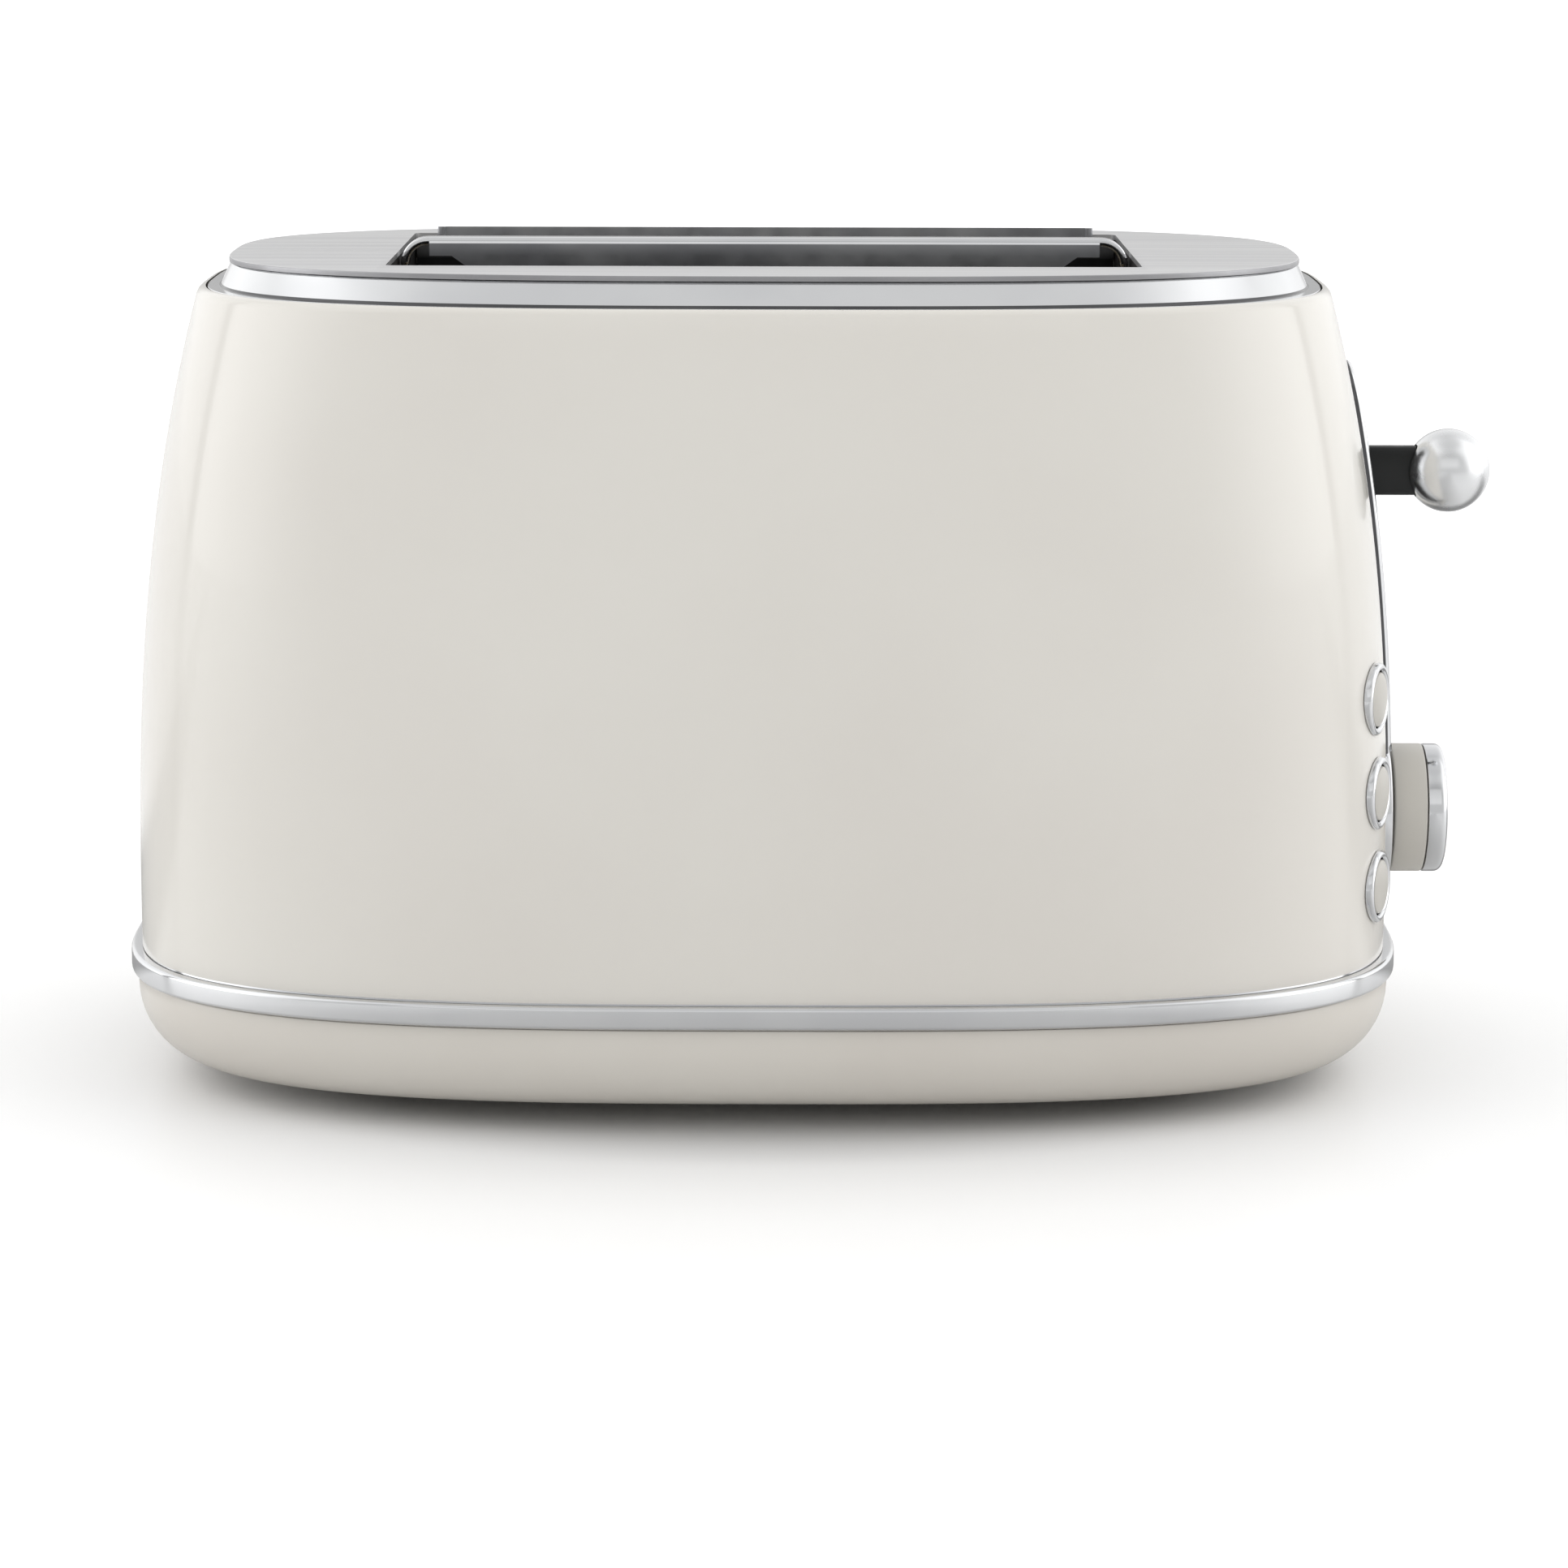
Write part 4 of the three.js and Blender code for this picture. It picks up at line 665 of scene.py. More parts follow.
rim_round, rim_start = 0.5 * MM, 0.15 * MM
bowl_sections = [*bowl_curve(BOWL_RADIUS, 14), bowl_rim(0, rim_round),
                 bowl_rim(rim_start, rim_start), bowl_rim(rim_round), bowl_rim(BOWL_WALL),
                 *reversed(bowl_curve(BOWL_RADIUS - BOWL_WALL, 8))]
bowl = make_piece("bowl", oval_stack(bowl_sections, "with caps"))
print(f"bowl skin with {len(bowl.data.vertices)} points")

# %% Give the bowl its rails and bosses
tray_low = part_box("crumb_tray")[0]
face_low, face_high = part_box("tray_face")
inside_floor = bowl_low.z + BOWL_WALL / 2
RAIL_APART, RAIL_HALF, RAIL_SHORT = 64 * MM, 1.5 * MM, 2 * MM
FOOT_BOSS, SCREW_BOSS = 5 * MM, 6 * MM
for side in (-1, 1):
    x = middle.x + side * RAIL_APART
    carve(bowl, block((x - RAIL_HALF, tray_low.y, inside_floor),
                      (x + RAIL_HALF, face_low.y - RAIL_SHORT, tray_low.z - SEAT)), "UNION")


def add_boss(centre, radius, top):
    place = Matrix.Translation((centre.x, centre.y, 0)) @ TO_Z
    carve(bowl, moved(bar(inside_floor, top, radius, 32), place), "UNION")


boss_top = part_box("chassis_plate")[0].z - SEAT
foot_boxes = {number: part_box(f"foot_{number}") for number in (1, 2, 3, 4)}
foot_centres = {number: (low + high) / 2 for number, (low, high) in foot_boxes.items()}
for number, (low, high) in foot_boxes.items():
    add_boss(foot_centres[number], FOOT_BOSS, high.z + SEAT)
    screw_low, screw_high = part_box(f"chassis_screw_{number}")
    add_boss((screw_low + screw_high) / 2, SCREW_BOSS, boss_top)
print("rails and bosses joined,", len(bowl.data.polygons), "faces")

# %% Cut the bowl's vents and openings
VENT_FIRST, VENT_PITCH = 88, 8
VENT_HALF_X, VENT_HALF_Y, VENT_LOW, VENT_HIGH = 1.3 * MM, 15 * MM, 3 * MM, 10 * MM
for x in [side * (VENT_FIRST + VENT_PITCH * i) * MM for side in (-1, 1) for i in range(3)]:
    carve(bowl, block((middle.x + x - VENT_HALF_X, -VENT_HALF_Y, VENT_LOW),
                      (middle.x + x + VENT_HALF_X, VENT_HALF_Y, VENT_HIGH),
                      round_axis=2, radius=1.2 * MM))
REVEAL, BEHIND_FACE, PAST_WALL = 0.4 * MM, 4 * MM, 2 * MM
carve(bowl, block((face_low.x - REVEAL, face_low.y - BEHIND_FACE, face_low.z - REVEAL),
                  (face_high.x + REVEAL, BOWL_Y + PAST_WALL, face_high.z + REVEAL),
                  round_axis=1, radius=1.5 * MM))
gland_low, gland_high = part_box("cord_gland")
gland_middle = (gland_low.x + gland_high.x) / 2, 0, (gland_low.z + gland_high.z) / 2
gland_place = Matrix.Translation(gland_middle) @ TO_Y
CORD_FROM, CORD_TO, CORD_HOLE = 56 * MM, 90 * MM, 4.9 * MM
carve(bowl, moved(bar(CORD_FROM, CORD_TO, CORD_HOLE, 32), gland_place))
present(bowl, cream_moulding, "base_bowl")

# %% [markdown]
# ## The chrome band and the collar
# A flat chrome band with softened edges covers the joint between bowl and shell, and a lip behind
# it rises to just under the shell's foot, so that no gap shows. At the top a chrome collar rises
# from a narrow ledge inside the shell's lip and leans inwards until it meets the plate. The fine
# seam at its foot gets a darker chrome, a painted shade for the gap it faces. Both are closed rings:
# the loft runs once round their section and ends where it began.

# %% Loft the band
band_low, band_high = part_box("base_band")
BAND_X, BAND_Y = half_size("base_band")
BAND_EDGE, BAND_INSIDE = 0.9 * MM, 6.4 * MM
LIP_INSET = BAND_Y - shell_high.y + SEAT
lip_top = SHELL_FOOT - 0.06 * MM


def band_section(inset, z):
    return BAND_X - inset, BAND_Y - inset, z, BODY_POWER


band_edge = [(BAND_EDGE * (1 - c), BAND_EDGE * (1 - s)) for c, s in quarter(6)]
band_sections = [band_section(BAND_INSIDE, band_low.z)]
band_sections += [band_section(inset, band_low.z + rise) for inset, rise in reversed(band_edge)]
band_sections += [band_section(inset, band_high.z - drop) for inset, drop in band_edge]
band_sections += [band_section(LIP_INSET, band_high.z), band_section(LIP_INSET, lip_top),
                  band_section(BAND_INSIDE, lip_top)]
band = make_piece("band", oval_stack(band_sections, "on itself"))
present(band, polished_chrome, "base_band")

# %% Loft the collar with its ledge
collar_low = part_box("top_collar")[0]
LEDGE_X, LEDGE_Y = half_size("top_collar")
LEDGE_WIDTH, LEDGE_SHEET, LEDGE_EDGE = 2.9 * MM, 0.8 * MM, 0.15 * MM
COLLAR_WALL = 1.4 * MM
LEAN_X, LEAN_Y = 2 * MM, 5.9 * MM
COLLAR_X, COLLAR_Y = LEDGE_X - LEDGE_WIDTH, LEDGE_Y - LEDGE_WIDTH


def collar_section(lean, inset, z):
    return COLLAR_X - lean * LEAN_X - inset, COLLAR_Y - lean * LEAN_Y - inset, z, COLLAR_POWER


def ledge_section(inset, z):
    return LEDGE_X - inset, LEDGE_Y - inset, z, BODY_POWER


SHOULDER, SEAM = 0.12 * MM, 0.45 * MM
ledge_top = collar_low.z + LEDGE_SHEET
collar_foot, collar_top = ledge_top + SEAM, PLATE_UNDER - 0.08 * MM
leaning = [collar_section(t, 0, collar_foot + (collar_top - SHOULDER - collar_foot) * t)
           for t in (0, 0.04, 0.35, 0.65, 0.96, 1)]
collar_sections = [
    ledge_section(0, collar_low.z), ledge_section(0, ledge_top - LEDGE_EDGE),
    ledge_section(LEDGE_EDGE, ledge_top), collar_section(0, -SEAM, ledge_top), *leaning,
    collar_section(1, 2 * SHOULDER, collar_top), collar_section(1, COLLAR_WALL, collar_top),
    collar_section(0, COLLAR_WALL, collar_low.z),
]
collar = make_piece("collar", oval_stack(collar_sections, "on itself"))
present(collar, polished_chrome, "top_collar")
# The seam at the collar's foot gets the darker chrome, a painted shade for its gap.
second_finish(collar, painted_shade_chrome, lambda face: ledge_top < face.center.z < collar_foot
              and face.normal.z > 0.3)

# %% [markdown]
# ## The brushed top plate
# A flat plate with a softened edge closes the top. Its mouth is one long opening for both slots,
# cut with a block whose upright edges are rounded. Its outer edge gets the finish of sheared steel.

# %% Make the plate and cut its mouth
plate_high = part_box("top_plate")[1]
PLATE_X, PLATE_Y = half_size("top_plate")
PLATE_EDGE = 0.4 * MM
plate_rings = [(PLATE_X, PLATE_Y, PLATE_UNDER, COLLAR_POWER)]
plate_rings += [(PLATE_X - PLATE_EDGE * (1 - c), PLATE_Y - PLATE_EDGE * (1 - c),
                 plate_high.z - PLATE_EDGE * (1 - s), COLLAR_POWER) for c, s in quarter(4)]
plate = make_piece("plate", oval_stack(plate_rings, "with caps"))
end_left, end_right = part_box("end_plate_left")[1].x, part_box("end_plate_right")[0].x
mouth_front, mouth_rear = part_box("reflector_front")[1].y - SEAT, 47.4 * MM
carve(plate, block((end_left + SEAT, mouth_front, PLATE_UNDER - MM),
                   (end_right - SEAT, mouth_rear, plate_high.z + MM),
                   round_axis=2, radius=1.5 * MM))


def is_outer_edge(face):
    at_mouth = (end_left < face.center.x < end_right
                and mouth_front - MM < face.center.y < mouth_rear + MM)
    return abs(face.normal.z) < 0.6 and not at_mouth


present(plate, brushed_steel, "top_plate")
second_finish(plate, sheared_steel, is_outer_edge)

# %% [markdown]
# ## The divider between the slots
# A folded strip of polished steel runs between the slots. Its long edges are rolled, its two
# flanges hang down into the chamber and are cut off on a slant near the ends, and a tongue laid
# into each end curls down. The channel starts as a block without its underside. Cutting planes
# mark the slants, the cut-off corners are deleted, and solidify gives it its wall. The flanges
# get a darker, duller finish of their own.

# %% Fold the divider's channel
strip_low, strip_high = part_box("slot_divider")
STRIP_SHEET, STRIP_ROLL, STRIP_SIDE = 1.2 * MM, 1.4 * MM, 3 * MM
TONGUE_REACH, NOTCH_REACH = 6.5 * MM, 5 * MM
SLANT_RUN, SLANT_DROP = 7.8 * MM, 11 * MM
strip_start, strip_end = strip_low.x + TONGUE_REACH, strip_high.x - TONGUE_REACH
flange_lip = strip_high.z - STRIP_SHEET - STRIP_SIDE
work = block((strip_start, strip_low.y, strip_low.z), (strip_end, strip_high.y, strip_high.z))
open_faces = [f for f in work.faces if f.normal.z < -0.9 or abs(f.normal.x) > 0.9]
bmesh.ops.delete(work, geom=open_faces, context="FACES")
bevel(work, [e for e in work.edges if len(e.link_faces) == 2], STRIP_ROLL, 6)
slant = Vector((SLANT_RUN, 0, SLANT_DROP)).normalized()
for side, notch_x in ((1, strip_end - NOTCH_REACH), (-1, strip_start + NOTCH_REACH)):
    notch = Vector((notch_x, 0, flange_lip))
    down_slant = Vector((side * slant.x, 0, -slant.z))
    for normal in ((1, 0, 0), (0, 0, 1), down_slant):
        slice_at(work, notch, normal)
    waste = []
    for face in work.faces:
        spot = face.calc_center_median() - notch
        if spot.z < 0 and (spot.x * side > 0 or down_slant.dot(spot) > 0):
            waste.append(face)
    bmesh.ops.delete(work, geom=waste, context="FACES")
bmesh.ops.recalc_face_normals(work, faces=work.faces)
if max(work.faces, key=lambda f: f.calc_center_median().z).normal.z < 0:
    bmesh.ops.reverse_faces(work, faces=work.faces)
bmesh.ops.solidify(work, geom=work.faces[:], thickness=STRIP_SHEET)
divider_work = close_up(work)
print(f"divider channel with {len(divider_work.faces)} faces")

# %% Curl its two tongues
TONGUE_BEND, TONGUE_THICK, TONGUE_HALF = 6 * MM, 1.8 * MM, 2.6 * MM
TONGUE_LENGTH, TONGUE_LAID_IN, TONGUE_EDGE = 9 * MM, 0.05 * MM, 0.45 * MM
POINT_LENGTH, POINT_OUT, POINT_TAPER = 1.6 * MM, 0.25 * MM, (0.45, 0.6, 1)


def curled_tongue(side):
    """A flat bar that is spun a quarter turn downwards and then drawn out to a blunt point."""
    work = bmesh.new()
    end, top = strip_high.x - middle.x, strip_high.z - TONGUE_LAID_IN
    place = Matrix.Translation((end - TONGUE_LENGTH, 0, top - TONGUE_THICK / 2))
    upright = Matrix.Rotation(math.radians(90), 4, "Y")
    size = Matrix.Diagonal((TONGUE_THICK, 2 * TONGUE_HALF, 1, 1))
    bmesh.ops.create_grid(work, x_segments=1, y_segments=1, size=0.5,
                          matrix=place @ upright @ size)
    face = list(work.faces)

    def extrude(vec):
        nonlocal face
        grown = bmesh.ops.extrude_face_region(work, geom=face)["geom"]
        points = of_type(grown, bmesh.types.BMVert)
        bmesh.ops.translate(work, vec=vec, verts=points)
        bmesh.ops.delete(work, geom=face, context="FACES_ONLY")
        face = of_type(grown, bmesh.types.BMFace)
        return points

    extrude((TONGUE_LENGTH - TONGUE_BEND, 0, 0))
    work.faces.ensure_lookup_table()
    spun = bmesh.ops.spin(work, geom=face, cent=(end - TONGUE_BEND, 0, top - TONGUE_BEND),
                          axis=(0, 1, 0), angle=math.radians(90), steps=10)
    bmesh.ops.delete(work, geom=face, context="FACES_ONLY")
    face = of_type(spun["geom_last"], bmesh.types.BMFace)
    points = extrude((0, 0, -POINT_LENGTH))
    tip = sum((p.co for p in points), Vector()) / len(points)
    bmesh.ops.scale(work, vec=POINT_TAPER, verts=points, space=Matrix.Translation(-tip))
    bmesh.ops.translate(work, vec=(POINT_OUT, 0, 0), verts=points)
    close_up(work)
    bmesh.ops.holes_fill(work, edges=[e for e in work.edges if e.is_boundary])
    bmesh.ops.recalc_face_normals(work, faces=work.faces)
    soften(work, TONGUE_EDGE, 3)
    mirrored = Matrix.Diagonal((side, 1, 1, 1))
    return close_up(moved(work, Matrix.Translation((middle.x, 0, 0)) @ mirrored))


for side in (-1, 1):
    tongue = bpy.data.meshes.new("tongue")
    curled_tongue(side).to_mesh(tongue)
    divider_work.from_mesh(tongue)
    bpy.data.meshes.remove(tongue)
divider = make_piece("divider", divider_work)
flange_top = strip_high.z - 1.3 * MM
present(divider, polished_chrome, "slot_divider")
# The hanging flanges get a darker, duller finish than the strip's top.
second_finish(divider, darker_flange_steel, lambda face: face.center.z < flange_top
              and abs(face.normal.y) > 0.9
              and abs(face.center.x - middle.x) < strip_end - middle.x)

# %% [markdown]
# ## Trim that hugs the shell
# The lever's surround and the knob's ring are thin chrome mouldings that lie on the curved end of
# the shell. They are made flat, which keeps their outlines and their softened edges simple, then
# sliced across and pushed onto the shell: each point moves out by as much as the shell lies there.
# The surround's flanks face the shell and the slot closely, so they get the darker chrome, a painted
# shade that draws a fine dark line round its rim.

# %% Lay flat trim on the shell
TRIM_BACK, HAIR = 0.2 * MM, 0.1 * MM


def lay_on_shell(work, every):
    low = min(v.co.z for v in work.verts)
    high = max(v.co.z for v in work.verts)
    for z in spread(max(int((high - low) / every), 1), low, high)[1:-1]:
        slice_at(work, (0, 0, z), (0, 0, 1))
    for point in work.verts:
        point.co.x += right_end(point.co.y, point.co.z)
    bmesh.ops.recalc_face_normals(work, faces=work.faces)
    return work


TRIM_HALF, TRIM_FRONT, TRIM_ABOVE_SLOT = 10 * MM, 2.2 * MM, 8 * MM
TRIM_ROUND, CUT_THROUGH, RING_ROOM = 1.3 * MM, 5 * MM, 17.4 * MM
surround = make_piece("lever_surround", block(
    (TRIM_BACK, -TRIM_HALF, knob_z), (TRIM_FRONT, TRIM_HALF, slot_top + TRIM_ABOVE_SLOT),
    round_axis=0, radius=TRIM_HALF * ROUND_END, steps=12))
carve(surround, lever_slot(-CUT_THROUGH, CUT_THROUGH))
carve(surround, moved(bar(-CUT_THROUGH, CUT_THROUGH, RING_ROOM, 96), AT_KNOB))
work = bmesh.new()
work.from_mesh(surround.data)
front_rim = [e for e in work.edges
             if len(e.link_faces) == 2 and e.calc_face_angle() > math.radians(60)
             and min(v.co.x for v in e.verts) > TRIM_FRONT - HAIR]
bevel(work, front_rim, TRIM_ROUND, 5)
lay_on_shell(work, 3 * MM)
crisp_edges(work)
work.to_mesh(surround.data)
work.free()
present(surround, polished_chrome, "lever_trim")
# The surround's flanks get the darker chrome, a painted shade that draws a dark line round the rim.
second_finish(surround, painted_shade_chrome, lambda face: abs(face.normal.x) < 0.3)

# %% Spin the knob's ring and lay it on the shell
ring_profile = in_mm((0.2, 4.5), (0.2, 8), (0.2, 12), (0.2, 15), (0.2, 17), (1.5, 17),
                     (1.85, 16.8), (2, 16.4), (2, 15.6), (1.6, 15.1), (1.6, 12), (1.6, 8),
                     (1.6, 4.5), (0.2, 4.5))
work = lay_on_shell(moved(turned(ring_profile, 96), AT_KNOB), 6 * MM)
present(make_piece("knob_ring_trim", work), polished_chrome, "knob_ring")

# %% [markdown]
# ## The knob
# A disc in the cream moulding, darkened to a warm grey with painted shade, with a chrome cap,
# turned on a lathe in the drawing and here: a profile spun round its own axis. The cap's rim is
# rounded with a bevel and a slot in its face is the pointer.

# %% Turn the knob and its cap
knob_radius = (knob_high.z - knob_low.z) / 2
cap_low, cap_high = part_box("knob_cap")
SHAFT_DEPTH, SHAFT_ROOM = 5 * MM, 3.3 * MM
DISC_EDGE, CAP_ROUND, CAP_EDGE = 0.45 * MM, 1.8 * MM, 0.25 * MM


def near_rim(point):
    return math.hypot(point.y, point.z) > 10 * MM


knob_profile = [(knob_low.x + SHAFT_DEPTH, 0), (knob_low.x + SHAFT_DEPTH, SHAFT_ROOM),
                (knob_low.x, SHAFT_ROOM), (knob_low.x, knob_radius),
                (knob_high.x, knob_radius), (knob_high.x, 0)]
work = soften(turned(knob_profile, 96), DISC_EDGE, 3, which=near_rim)
# The disc gets the moulding that is darkened with painted shade.
present(make_piece("knob_disc", moved(work, AT_KNOB)), painted_shade_moulding, "knob_body")

work = bar(cap_low.x, cap_high.x, knob_radius, 96)
soften(work, CAP_ROUND, 7, which=lambda p: p.x > cap_high.x - HAIR)
soften(work, CAP_EDGE, 2, which=lambda p: p.x < cap_low.x + HAIR and near_rim(p))
cap = make_piece("knob_face", moved(work, AT_KNOB))
POINTER_DEPTH, POINTER_HALF, POINTER_LENGTH = 0.8 * MM, 0.8 * MM, 7 * MM
pointer_top = knob_z + knob_radius - CAP_ROUND
carve(cap, block((cap_high.x - POINTER_DEPTH, -POINTER_HALF, pointer_top - POINTER_LENGTH),
                 (cap_high.x + MM, POINTER_HALF, pointer_top), round_axis=0, radius=0.6 * MM))
present(cap, polished_chrome, "knob_cap")

# %% [markdown]
# ## The lever
# A flat black stem carries a satin ball. The ball is a sphere with its poles on the stem's axis
# and a socket cut for the stem, which is a block with rounded edges.

# %% Make the stem and the ball
STEM_CORNER = 1.6 * MM
work = block(stem_low, stem_high, round_axis=0, radius=STEM_CORNER)
stem = make_piece("stem", soften(work, 0.2 * MM, 2, sharper_than=60))
present(stem, black_plastic, "lever_stem")

ball_low, ball_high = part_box("lever_ball")
ball_radius = (ball_high.z - ball_low.z) / 2
work = bmesh.new()
bmesh.ops.create_uvsphere(work, u_segments=72, v_segments=36, radius=ball_radius)
moved(work, Matrix.Translation((ball_high.x - ball_radius, 0, lever_z)) @ TO_Z)
ball = make_piece("ball", work)
carve(ball, block((ball_low.x - 5 * MM, stem_low.y - SEAT, stem_low.z - SEAT),
                  (stem_high.x + SEAT, stem_high.y + SEAT, stem_high.z + SEAT),
                  round_axis=0, radius=STEM_CORNER))
present(ball, satin_chrome, "lever_ball")

# %% [markdown]
# ## Push buttons
# Each button is a cap with a slightly domed face, in the cream moulding darkened with painted
# shade, running in a chrome bezel. Both are spun round the X axis and then set in the button's own
# frame, square to the shell. The back of the bezel's flange is moved point by point until it lies
# on the curved shell.

# %% Turn the bezels and caps
ROUNDS = 4


def rest_on_shell(work, place, flange_radius, depth):
    """Each round brings a point nearer, because its place on the curve moves with it."""
    for point in work.verts:
        if math.hypot(point.co.y, point.co.z) > flange_radius and point.co.x < depth:
            for _ in range(ROUNDS):
                there = place @ point.co
                point.co.x += right_end(there.y, there.z) + TRIM_BACK - there.x
    return work


bore = BUTTON_RADIUS + BUTTON_RUNNING
bezel_back, bezel_neck = -5 * MM, bore + BEZEL_WALL
bezel_radius, bezel_front, bezel_crown = 8.1 * MM, 1.3 * MM, 0.9 * MM
bezel_middle, bezel_half = (bezel_radius + bore) / 2, (bezel_radius - bore) / 2
crown = [(bezel_front - bezel_crown * (1 - s), bezel_middle + bezel_half * c)
         for c, s in quarter(10, 0, math.pi)]
bezel_profile = [(bezel_back, bore), (bezel_back, bezel_neck), (0, bezel_neck),
                 (0, bezel_radius), *crown, (bezel_back, bore)]
cap_profile = in_mm((-9, 0), (-9, 2.2), (-5, 2.2), (-5, 6), (0.8, 6), (1.05, 5.9), (1.3, 5.5),
                    (1.7, 4), (1.92, 2), (2, 0))
for number, place in button_frames.items():
    work = rest_on_shell(turned(bezel_profile, 64), place, bezel_neck + HAIR, HAIR)
    bezel = make_piece(f"bezel_{number}", moved(work, place))
    present(bezel, polished_chrome, f"button_bezel_{number}")
    button = make_piece(f"button_{number}", moved(turned(cap_profile, 64), place))
    # Each cap gets the moulding that is darkened with painted shade.
    present(button, painted_shade_moulding, f"button_cap_{number}")

# %% [markdown]
# ## The crumb tray's face, the feet and the cord's bush
# The tray's face continues the bowl's curve, so it is the bowl's own form cut down to a block,
# with a scoop below for the fingers. The feet and the bush are turned.

# %% Cut the tray's face out of the bowl's form
SCOOP_HALF, SCOOP_RADIUS, SCOOP_OUT = 20 * MM, 9 * MM, 4.5 * MM
face_form = [*bowl_curve(BOWL_RADIUS, 14), bowl_rim(0)]
tray_face = make_piece("tray_front", oval_stack(face_form, "with caps"))
carve(tray_face, block((face_low.x, face_low.y, face_low.z),
                       (face_high.x, BOWL_Y + PAST_WALL, face_high.z),
                       round_axis=1, radius=1.2 * MM), "INTERSECT")
scoop_place = Matrix.Translation((middle.x, BOWL_Y + SCOOP_OUT, face_low.z))
carve(tray_face, moved(bar(-SCOOP_HALF, SCOOP_HALF, SCOOP_RADIUS, 64), scoop_place))
present(tray_face, cream_moulding, "tray_face")

# %% Turn the feet and the cord's bush
foot_top = bowl_low.z - SEAT
foot_profile = in_mm((0, 0), (0, 7.4), (0.5, 8.3), (1.6, 9), (3, 8.7))
foot_profile += [(foot_top, 8.2 * MM), (foot_top, 0)]
for number, centre in foot_centres.items():
    place = Matrix.Translation((centre.x, centre.y, 0)) @ TO_Z
    foot = make_piece(f"rubber_foot_{number}", moved(turned(foot_profile, 48), place))
    present(foot, foot_rubber, f"foot_{number}")

bush_back, bush_face = gland_low.y, gland_high.y
bush_shoulder, bush_rim = bush_face - 6.3 * MM, bush_face - 0.8 * MM
bush_profile = [(bush_back, 3.4 * MM), (bush_back, 4.6 * MM), (bush_shoulder, 4.6 * MM),
                (bush_shoulder, 6.4 * MM), (bush_rim, 6.4 * MM), (bush_face, 5.6 * MM),
                (bush_face, 4.2 * MM), (bush_rim, 3.4 * MM), (bush_back, 3.4 * MM)]
bush = make_piece("cord_bush", soften(moved(turned(bush_profile, 48), gland_place), 0.3 * MM, 2))
present(bush, black_plastic, "cord_gland")

# %% [markdown]
# ## The bread guards
# Round wires, welded into two rails: they hold the slices upright and close on them. Each wire is
# a cone with equal ends, turned onto its axis. It is a hair thinner than its drawn size, so that
# its flat sides stay within the drawn ones.

# %% Weld the guards
WIRE, WIRE_SIDES = 0.9 * MM, 14
THINNER = WIRE * 0.97
GUARD_MARGIN, UPRIGHTS = 10.6 * MM, 7


def wire(work, start, end):
    start, end = Vector(start), Vector(end)
    along = (end - start).to_track_quat("Z", "Y").to_matrix().to_4x4()
    bmesh.ops.create_cone(work, cap_ends=True, segments=WIRE_SIDES, radius1=THINNER,
                          radius2=THINNER, depth=(end - start).length,
                          matrix=Matrix.Translation((start + end) / 2) @ along)


for number in (1, 2, 3, 4):
    low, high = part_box(f"bread_guard_{number}")
    y = (low.y + high.y) / 2
    work = bmesh.new()
    rails = (low.z + WIRE, high.z - WIRE)
    for z in rails:
        wire(work, (low.x, y, z), (high.x, y, z))
    span = (end_right - end_left) / 2 - GUARD_MARGIN
    for x in spread(UPRIGHTS - 1, -span, span):
        wire(work, (middle.x + x, y, rails[0]), (middle.x + x, y, rails[1]))
    present(make_piece(f"guard_{number}", work), satin_chrome, f"bread_guard_{number}")

# %% [markdown]
# ## The return spring
# A coil of steel wire hangs from the bracket over the guide rods and pulls the carriage up. One
# ring of wire, spun round the spring's axis while it climbs, makes the coil. On the real toaster
# its upper end stays with the bracket and its lower end goes with the carriage, so the spring
# stretches when the lever goes down.

# %% Wind the spring
SPRING_WIRE, SPRING_TURNS, SPRING_STEPS = 0.45 * MM, 16, 20
spring_low, spring_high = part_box("return_spring")
spring_axis = (spring_low + spring_high) / 2
coil_radius = (spring_high.x - spring_low.x) / 2 - SPRING_WIRE
coil_rise = spring_high.z - spring_low.z - 2 * SPRING_WIRE
coil_steps = SPRING_TURNS * SPRING_STEPS
wire_start = Matrix.Translation(
    (spring_axis.x + coil_radius, spring_axis.y, spring_low.z + SPRING_WIRE))
work = bmesh.new()
bmesh.ops.create_circle(work, cap_ends=False, segments=10, radius=SPRING_WIRE)
moved(work, wire_start @ Matrix.Rotation(math.radians(90), 4, "X"))
bmesh.ops.spin(work, geom=work.verts[:] + work.edges[:], cent=spring_axis, axis=(0, 0, 1),
               dvec=(0, 0, coil_rise / coil_steps), angle=2 * math.pi * SPRING_TURNS,
               steps=coil_steps)
bmesh.ops.holes_fill(work, edges=[edge for edge in work.edges if edge.is_boundary], sides=0)
bmesh.ops.recalc_face_normals(work, faces=work.faces)
spring = make_piece("spring", work)
spring.data.materials.append(satin_chrome)
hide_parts("return_spring")
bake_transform(spring)
print("spring:", SPRING_TURNS, "turns,", len(spring.data.polygons), "faces")

# %% [markdown]
# ## Finishes on the measured parts
# The parts inside are flat sheets and turned rods whose measured shape is already right. They
# stay as they are and only get their finish.

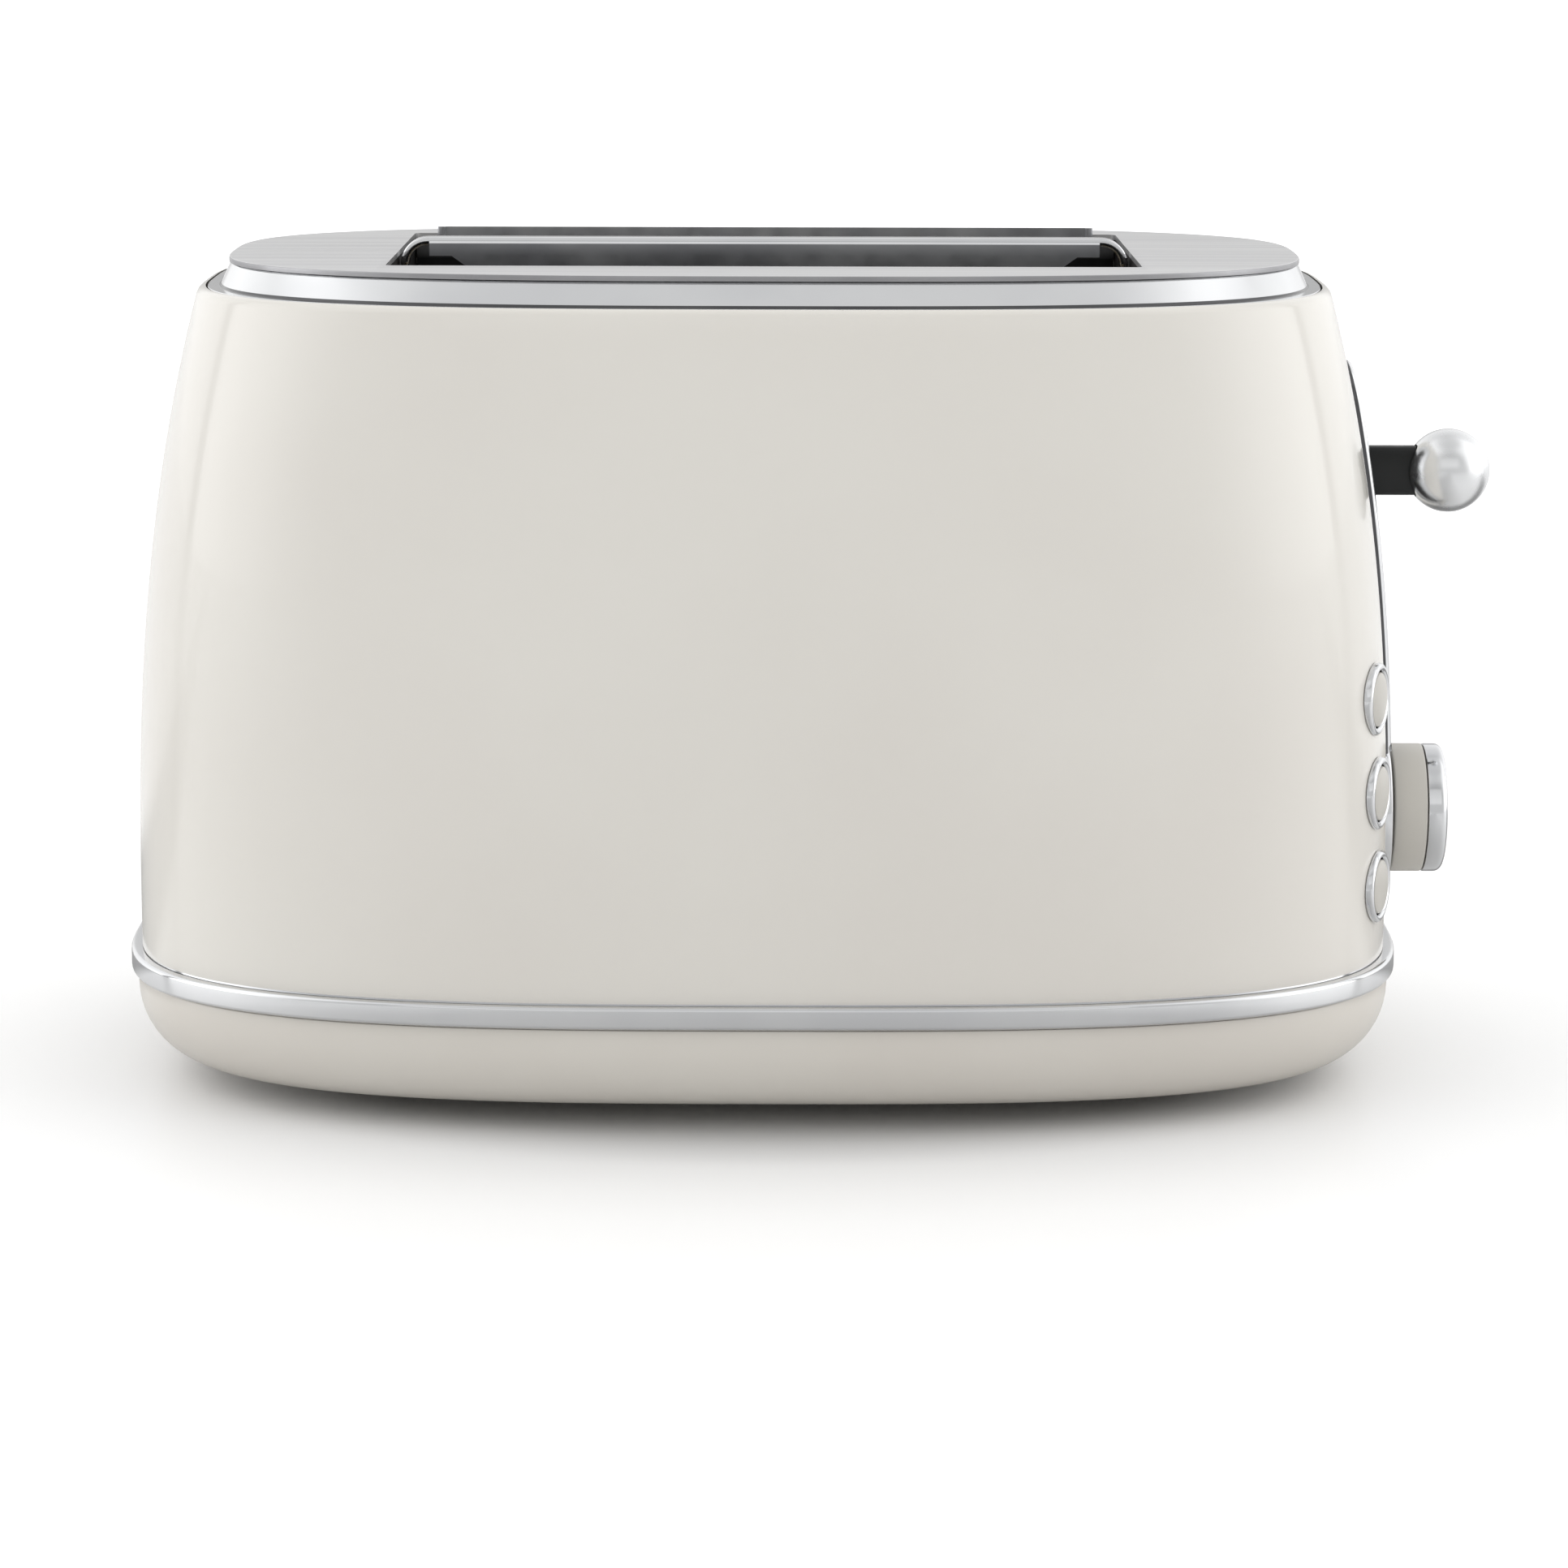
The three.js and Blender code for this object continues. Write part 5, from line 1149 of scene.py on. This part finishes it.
# %% Dress the parts that stay
DRESS = {
    reflector_steel: ["reflector_front", "reflector_rear"],
    mill_steel: ["carriage_plate", "armature", "rod_bracket", "magnet_core", "knob_shaft",
                 "crumb_tray", "chassis_plate"],
    heat_darkened_steel: ["end_plate_left", "end_plate_right"],
    satin_chrome: ["bread_rack_front", "bread_rack_rear", "guide_rod_front", "guide_rod_rear",
                   *(f"chassis_screw_{number}" for number in (1, 2, 3, 4))],
    mica_sheet: ["heater_board_front", "heater_board_centre", "heater_board_rear"],
    dull_ribbon: [f"heater_ribbon_{number}" for number in (1, 2, 3, 4)],
    natural_nylon: ["carriage_slider"],
    circuit_green: ["control_board"],
    copper_winding: ["magnet_coil"],
    black_plastic: ["potentiometer"],
}
for finish, names in DRESS.items():
    for name in names:
        parts[name].data.materials.clear()
        parts[name].data.materials.append(finish)
    print(f"{finish.name}: {len(names)} parts")

# %% [markdown]
# ## The floor
# The toaster stands on a plain white floor, which answers each kind of ray in its own way. Seen
# directly it is grey under the toaster, so that the contact shadow is deep, and glows to white
# further off. What the chrome mirrors is a calmer floor, dimmer near the middle and dimmest in a
# strip behind the toaster. The light that it throws back up comes from an even pale grey.

# %% Helpers for tones over distance
def grey_ramp(tree, amount, stops):
    """Stops are (position from 0 to 1, grey level), with a straight run between two stops."""
    ramp = tree.nodes.new("ShaderNodeValToRGB")
    for position, _ in stops[1:-1]:
        ramp.color_ramp.elements.new(position)
    for stop, (position, level) in zip(ramp.color_ramp.elements, stops):
        stop.position = position
        stop.color = (level, level, level, 1)
    tree.links.new(amount, ramp.inputs["Fac"])
    return ramp.outputs["Color"]


def length_of(tree, vector):
    return add_node(tree, "VectorMath", {0: vector}, operation="LENGTH").outputs["Value"]


def times(tree, first, second):
    node = add_node(tree, "Math", {0: first, 1: second}, operation="MULTIPLY")
    return node.outputs["Value"]


WHITE = (1, 1, 1, 1)
print("tone helpers ready")

# %% Lay the floor
FLOOR_SIZE, FLOOR_SQUEEZE = 15, 0.8
work = bmesh.new()
bmesh.ops.create_grid(work, x_segments=1, y_segments=1, size=FLOOR_SIZE)
floor = make_piece("floor", work)
floor_white, tree, shader = start_finish("floor_white", Roughness=0.3, Specular_IOR_Level=0.25)
ray = add_node(tree, "LightPath", {}).outputs
around_toaster = length_of(tree, object_place(
    tree, (FLOOR_SQUEEZE, 1, 1), (-FLOOR_SQUEEZE * middle.x, 0, 0)))
sideways = length_of(tree, object_place(tree, (1, 0, 0)))
backwards = add_node(tree, "SeparateXYZ", {"Vector": object_place(tree)}).outputs["Y"]
dim_middle = grey_ramp(tree, sideways, [(0, 0.56), (0.12, 0.6), (0.22, 0.85), (1, 0.85)])
dim_strip = grey_ramp(tree, backwards, [(0, 1), (0.04, 1), (0.07, 0.3), (0.2, 0.3), (0.26, 1),
                                        (1, 1)])
mirrored = mix_colours(tree, 1, dim_middle, dim_strip, "MULTIPLY")
not_seen = mix_colours(tree, ray["Is Glossy Ray"], (0.85, 0.85, 0.85, 1), mirrored)
seen = grey_ramp(tree, around_toaster, [(0, 0.57), (0.08, 0.63), (0.108, 0.92), (1, 0.94)])
tone = mix_colours(tree, ray["Is Camera Ray"], not_seen, seen)
glow = grey_ramp(tree, around_toaster, [(0, 0), (0.085, 0), (0.15, 0.1), (1, 0.45)])
tree.links.new(tone, shader.inputs["Base Color"])
tree.links.new(times(tree, ray["Is Camera Ray"], glow), shader.inputs["Emission Strength"])
shader.inputs["Emission Color"].default_value = WHITE
floor.data.materials.append(floor_white)
print("floor laid,", 2 * FLOOR_SIZE, "m wide")

# %% [markdown]
# ## The light
# A bright studio surrounds the toaster. Its walls are brightest at the sides and darker in front
# and behind, and the ceiling darkens towards the top, so that chrome and enamel have something to
# reflect. A thin dark stand behind each side draws the dark line that polished trim shows in a
# studio. It fades out above. To the eye the studio is plain white. One wide soft lamp in front
# adds a gentle direction.

# %% Light the studio
sky = bpy.data.worlds.new("studio_sky")
bpy.context.scene.world = sky
sky.use_nodes = True
tree = sky.node_tree
direction = add_node(tree, "TexCoord", {}).outputs["Generated"]
split = add_node(tree, "SeparateXYZ", {"Vector": direction}).outputs
front_to_back = add_node(tree, "MapRange", {"Value": split["Y"], "From Min": -1,
                                            "From Max": 1}).outputs["Result"]
above_stand = add_node(tree, "MapRange", {"Value": split["Z"], "From Min": 0.4,
                                          "From Max": 0.6}).outputs["Result"]
walls = grey_ramp(tree, front_to_back, [
    (0, 0.72), (0.15, 0.78), (0.33, 2.0), (0.5, 2.36), (0.64, 2.36), (0.71, 1.6), (0.9, 1.3),
    (0.965, 1.15), (0.99, 0.55), (1, 0.5)])
stand = grey_ramp(tree, front_to_back, [(0, 1), (0.64, 1), (0.66, 0.25), (0.69, 0.25),
                                        (0.71, 1), (1, 1)])
ceiling = grey_ramp(tree, split["Z"], [(0, 1), (0.3, 1), (0.85, 0.57), (0.95, 0.37), (1, 0.34)])
stand_fades = add_node(tree, "Mix", {"Factor": above_stand, "A": stand, "B": 1.0})
studio = times(tree, ceiling, times(tree, walls, stand_fades.outputs["Result"]))
is_seen = add_node(tree, "LightPath", {}).outputs["Is Camera Ray"]
level = add_node(tree, "Mix", {"Factor": is_seen, "A": studio, "B": 1.0}).outputs["Result"]
background = tree.nodes["Background"]
background.inputs["Color"].default_value = WHITE
tree.links.new(level, background.inputs["Strength"])

lamp = bpy.data.objects.new("front", bpy.data.lights.new("front", "AREA"))
lamp.data.shape = "RECTANGLE"
lamp.data.size, lamp.data.size_y, lamp.data.energy = 2.4, 1.2, 2.5
lamp.location, lamp_aim = Vector((0, -2.2, 1.3)), Vector((0, 0, 0.1))
lamp.rotation_mode = "QUATERNION"
lamp.rotation_quaternion = (lamp_aim - lamp.location).to_track_quat("-Z", "Y")
bpy.context.scene.collection.objects.link(lamp)
bpy.context.scene.view_settings.view_transform = "Standard"
print("studio ready")
